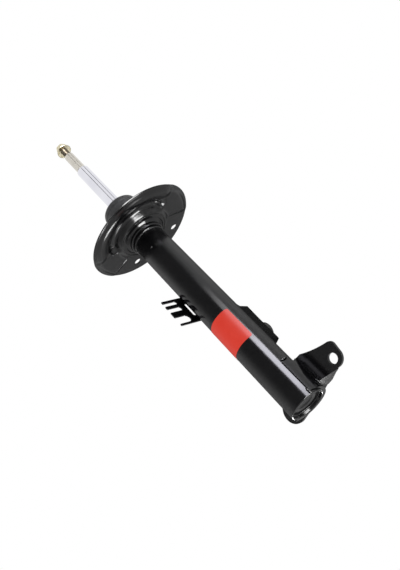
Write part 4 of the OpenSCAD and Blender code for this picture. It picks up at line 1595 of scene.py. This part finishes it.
@dataclass
class Studio:
    """Camera, lamps, floor and the pale surroundings."""

    camera_at: Point3 = (0.388, -0.6066, -0.2230)
    camera_up: Point3 = (0.7941, 0.0446, 0.6062)
    camera_back: Point3 = (0.448, -0.717, -0.5341)
    lens: float = 37.89
    camera_azimuth: float = -58.0
    floor_z: float = -0.62
    floor_size: float = 8.0
    wall_radius: float = 1.6
    wall_top: float = 1.75
    # Heights between which the wall changes from its lower to its higher grey levels
    wall_change: Point2 = (-0.1, 0.45)
    ambient: float = 0.9
    # Grey levels by the angle from the camera, near the floor and higher up
    wall_low: tuple[Point2, ...] = (
        (-180, 0.45), (-160, 0.80), (-135, 1.0), (-105, 0.55), (-60, 0.45), (0, 0.35), (45, 0.5),
        (75, 0.85), (110, 0.7), (140, 1.0), (160, 0.80), (180, 0.45),
    )
    wall_high: tuple[Point2, ...] = (
        (-180, 0.10), (-160, 0.14), (-135, 0.38), (-118, 0.58), (-102, 0.75), (-86, 0.66),
        (-70, 0.48), (-53, 0.27), (-37, 0.2), (-5, 0.18), (30, 0.16), (66, 1.0), (93, 1.0),
        (109, 0.77), (125, 0.5), (141, 0.2), (158, 0.10), (180, 0.10),
    )
    # Angle from the camera and width of each dark banner above the wall
    banner_turns: tuple[Point2, ...] = ((16.0, 0.22), (72.0, 0.22))
    banner_top: float = 3.2
    lamps: tuple[Lamp, ...] = (
        Lamp("key_box", (0.97, -0.25, 0.44), (0.0, 0.0, 0.05), (0.56, 0.28), 7.5, diffuse=False,
             tint="#f5f4ff"),
        Lamp("key_fade", (0.97, -0.25, 0.66), (0.0, 0.0, 0.05), (0.56, 0.19), 1.0, diffuse=False),
        Lamp("low_box", (0.58, -0.28, -0.18), (0.0, 0.0, 0.37), (0.5, 0.32), 11.0, diffuse=False),
        Lamp("low_left", (-0.26, 0.17, -0.08), (0.0, -0.05, 0.37), (0.13, 0.1), 0.8, diffuse=False),
        Lamp("low_right", (0.02, 0.36, -0.5), (0.0, 0.0, 0.37), (0.15, 0.15), 0.3, diffuse=False),
        Lamp("top_box", (0.1, -0.4, 1.9), (0.0, 0.0, 0.2), (1.2, 1.2), 9.0, gloss=False),
    )

    def camera(self) -> None:
        """Sets up the camera."""
        data = bpy.data.cameras.new("studio_camera")
        data.lens = self.lens
        data.sensor_width = 36.0
        data.sensor_fit = "AUTO"
        data.clip_start = 0.01
        data.clip_end = 50.0
        seat = bpy.data.objects.new("studio_camera", data)
        bpy.context.scene.collection.objects.link(seat)
        back = Vector(self.camera_back).normalized()
        up = Vector(self.camera_up)
        up = (up - back * up.dot(back)).normalized()
        right = up.cross(back)
        axes = Matrix((right, up, back)).transposed().to_4x4()
        seat.matrix_world = Matrix.Translation(self.camera_at) @ axes
        bpy.context.scene.camera = seat

    def floor(self) -> None:
        """Lays the plain pale floor, well below the strut."""
        bpy.ops.object.select_all(action="DESELECT")
        bpy.ops.mesh.primitive_plane_add(size=self.floor_size, location=(0, 0, self.floor_z))
        self.staged("studio_floor", matt("pale_matt_floor", "#dadada"))

    @staticmethod
    def staged(name: str, material: bpy.types.Material) -> bpy.types.Object:
        """Names the new studio object, gives it its material and stages it.

        Args:
            name: The object's name.
            material: Its material.

        Returns:
            The object.
        """
        thing = bpy.context.object
        thing.name = name
        thing.data.materials.append(material)
        return thing

    @staticmethod
    def reflected_only(thing: bpy.types.Object) -> None:
        """Leaves a studio object to the gloss of the strut alone.

        Args:
            thing: The object.
        """
        thing.visible_camera = False
        thing.visible_diffuse = False
        thing.visible_shadow = False

    def share(self, turn: float) -> float:
        """Place on a colour ramp, from 0 to 1, of an angle from the camera in degrees."""
        return turn / 360 + 0.5

    def wall(self) -> None:
        """Stands a round grey wall about the strut, dark above and lighter near the floor."""
        foot, head = self.floor_z, self.wall_top
        middle = (head + foot) / 2
        bpy.ops.object.select_all(action="DESELECT")
        bpy.ops.mesh.primitive_cylinder_add(
            vertices=128, radius=self.wall_radius, depth=head - foot, end_fill_type="NOTHING",
            location=(0, 0, middle),
        )
        material = matt("grey_studio_wall", "#808080")
        tree = material.node_tree
        place = add(tree, "TexCoord").outputs["Object"]
        part = add(tree, "SeparateXYZ", {0: place})
        turn = add(tree, "Math", {0: part.outputs[1], 1: part.outputs[0]}, operation="ARCTAN2")
        share = add(
            tree, "Math",
            {0: turn.outputs[0], 1: 1 / (2 * math.pi), 2: 0.5 - self.camera_azimuth / 360},
            operation="MULTIPLY_ADD",
        )
        share = add(tree, "Math", {0: share.outputs[0]}, operation="FRACT").outputs[0]
        rows = [ramp(tree, share, [(self.share(a), grey) for a, grey in row])
                for row in (self.wall_low, self.wall_high)]
        low, high = self.wall_change
        rise = add(
            tree, "MapRange",
            {"Value": part.outputs[2], "From Min": low - middle, "From Max": high - middle},
            interpolation_type="SMOOTHSTEP",
        ).outputs[0]
        colour = add(tree, "MixRGB", {0: rise, 1: rows[0], 2: rows[1]}).outputs[0]
        tree.links.new(colour, tree.nodes["matt"].inputs["Color"])
        self.reflected_only(self.staged("studio_wall", material))

    def banners(self) -> None:
        """Hangs the narrow dark banners whose lines show on the rod."""
        for number, (turn, width) in enumerate(self.banner_turns):
            azimuth = math.radians(self.camera_azimuth + turn)
            middle = (self.wall_top + self.banner_top) / 2
            bpy.ops.object.select_all(action="DESELECT")
            bpy.ops.mesh.primitive_plane_add(
                size=1,
                location=(self.wall_radius * math.cos(azimuth),
                          self.wall_radius * math.sin(azimuth), middle),
                rotation=(math.radians(90), 0, azimuth + math.radians(90)),
            )
            bpy.context.object.scale = (width, self.banner_top - self.wall_top, 1)
            banner = self.staged(f"studio_banner_{number}", matt(f"dark_banner_{number}", "#262626"))
            self.reflected_only(banner)

    def surroundings(self) -> None:
        """White where the camera, gloss or glass looks, and an even soft light elsewhere."""
        world = bpy.data.worlds.new("pale_studio")
        bpy.context.scene.world = world
        world.use_nodes = True
        tree = world.node_tree
        tree.nodes.clear()
        path = add(tree, "LightPath")
        seen = add(tree, "Math", {0: path.outputs["Is Camera Ray"],
                                  1: path.outputs["Is Glossy Ray"]}, operation="MAXIMUM")
        seen = add(tree, "Math", {0: seen.outputs[0],
                                  1: path.outputs["Is Transmission Ray"]}, operation="MAXIMUM")
        grey = (self.ambient, self.ambient, self.ambient, 1)
        colour = add(tree, "MixRGB", {0: seen.outputs[0], 1: grey, 2: (1, 1, 1, 1)})
        back = add(tree, "Background", {0: colour.outputs[0], 1: 1.0})
        add(tree, "OutputWorld", {0: back.outputs[0]})

    def build(self) -> None:
        """Sets up the whole studio."""
        bpy.context.scene.view_settings.view_transform = "Standard"
        self.camera()
        self.floor()
        self.wall()
        self.banners()
        self.surroundings()
        for lamp in self.lamps:
            lamp.hang()


def main() -> None:
    """Builds the strut's sub-assemblies in order, then the studio."""
    logging.basicConfig(level=logging.INFO, format="%(name)s %(message)s", force=True)
    dresser = Dresser()
    builders: list[Callable[[Dresser], None]] = [
        DamperTube().build, BumpCap().build, SpringSeat().build, HoseBracket().build,
        KnuckleBrackets().build, RodEnd().build, InnerWorks().build,
    ]
    for build in builders:
        build(dresser)
    Studio().build()


if __name__ == "__main__":
    main()
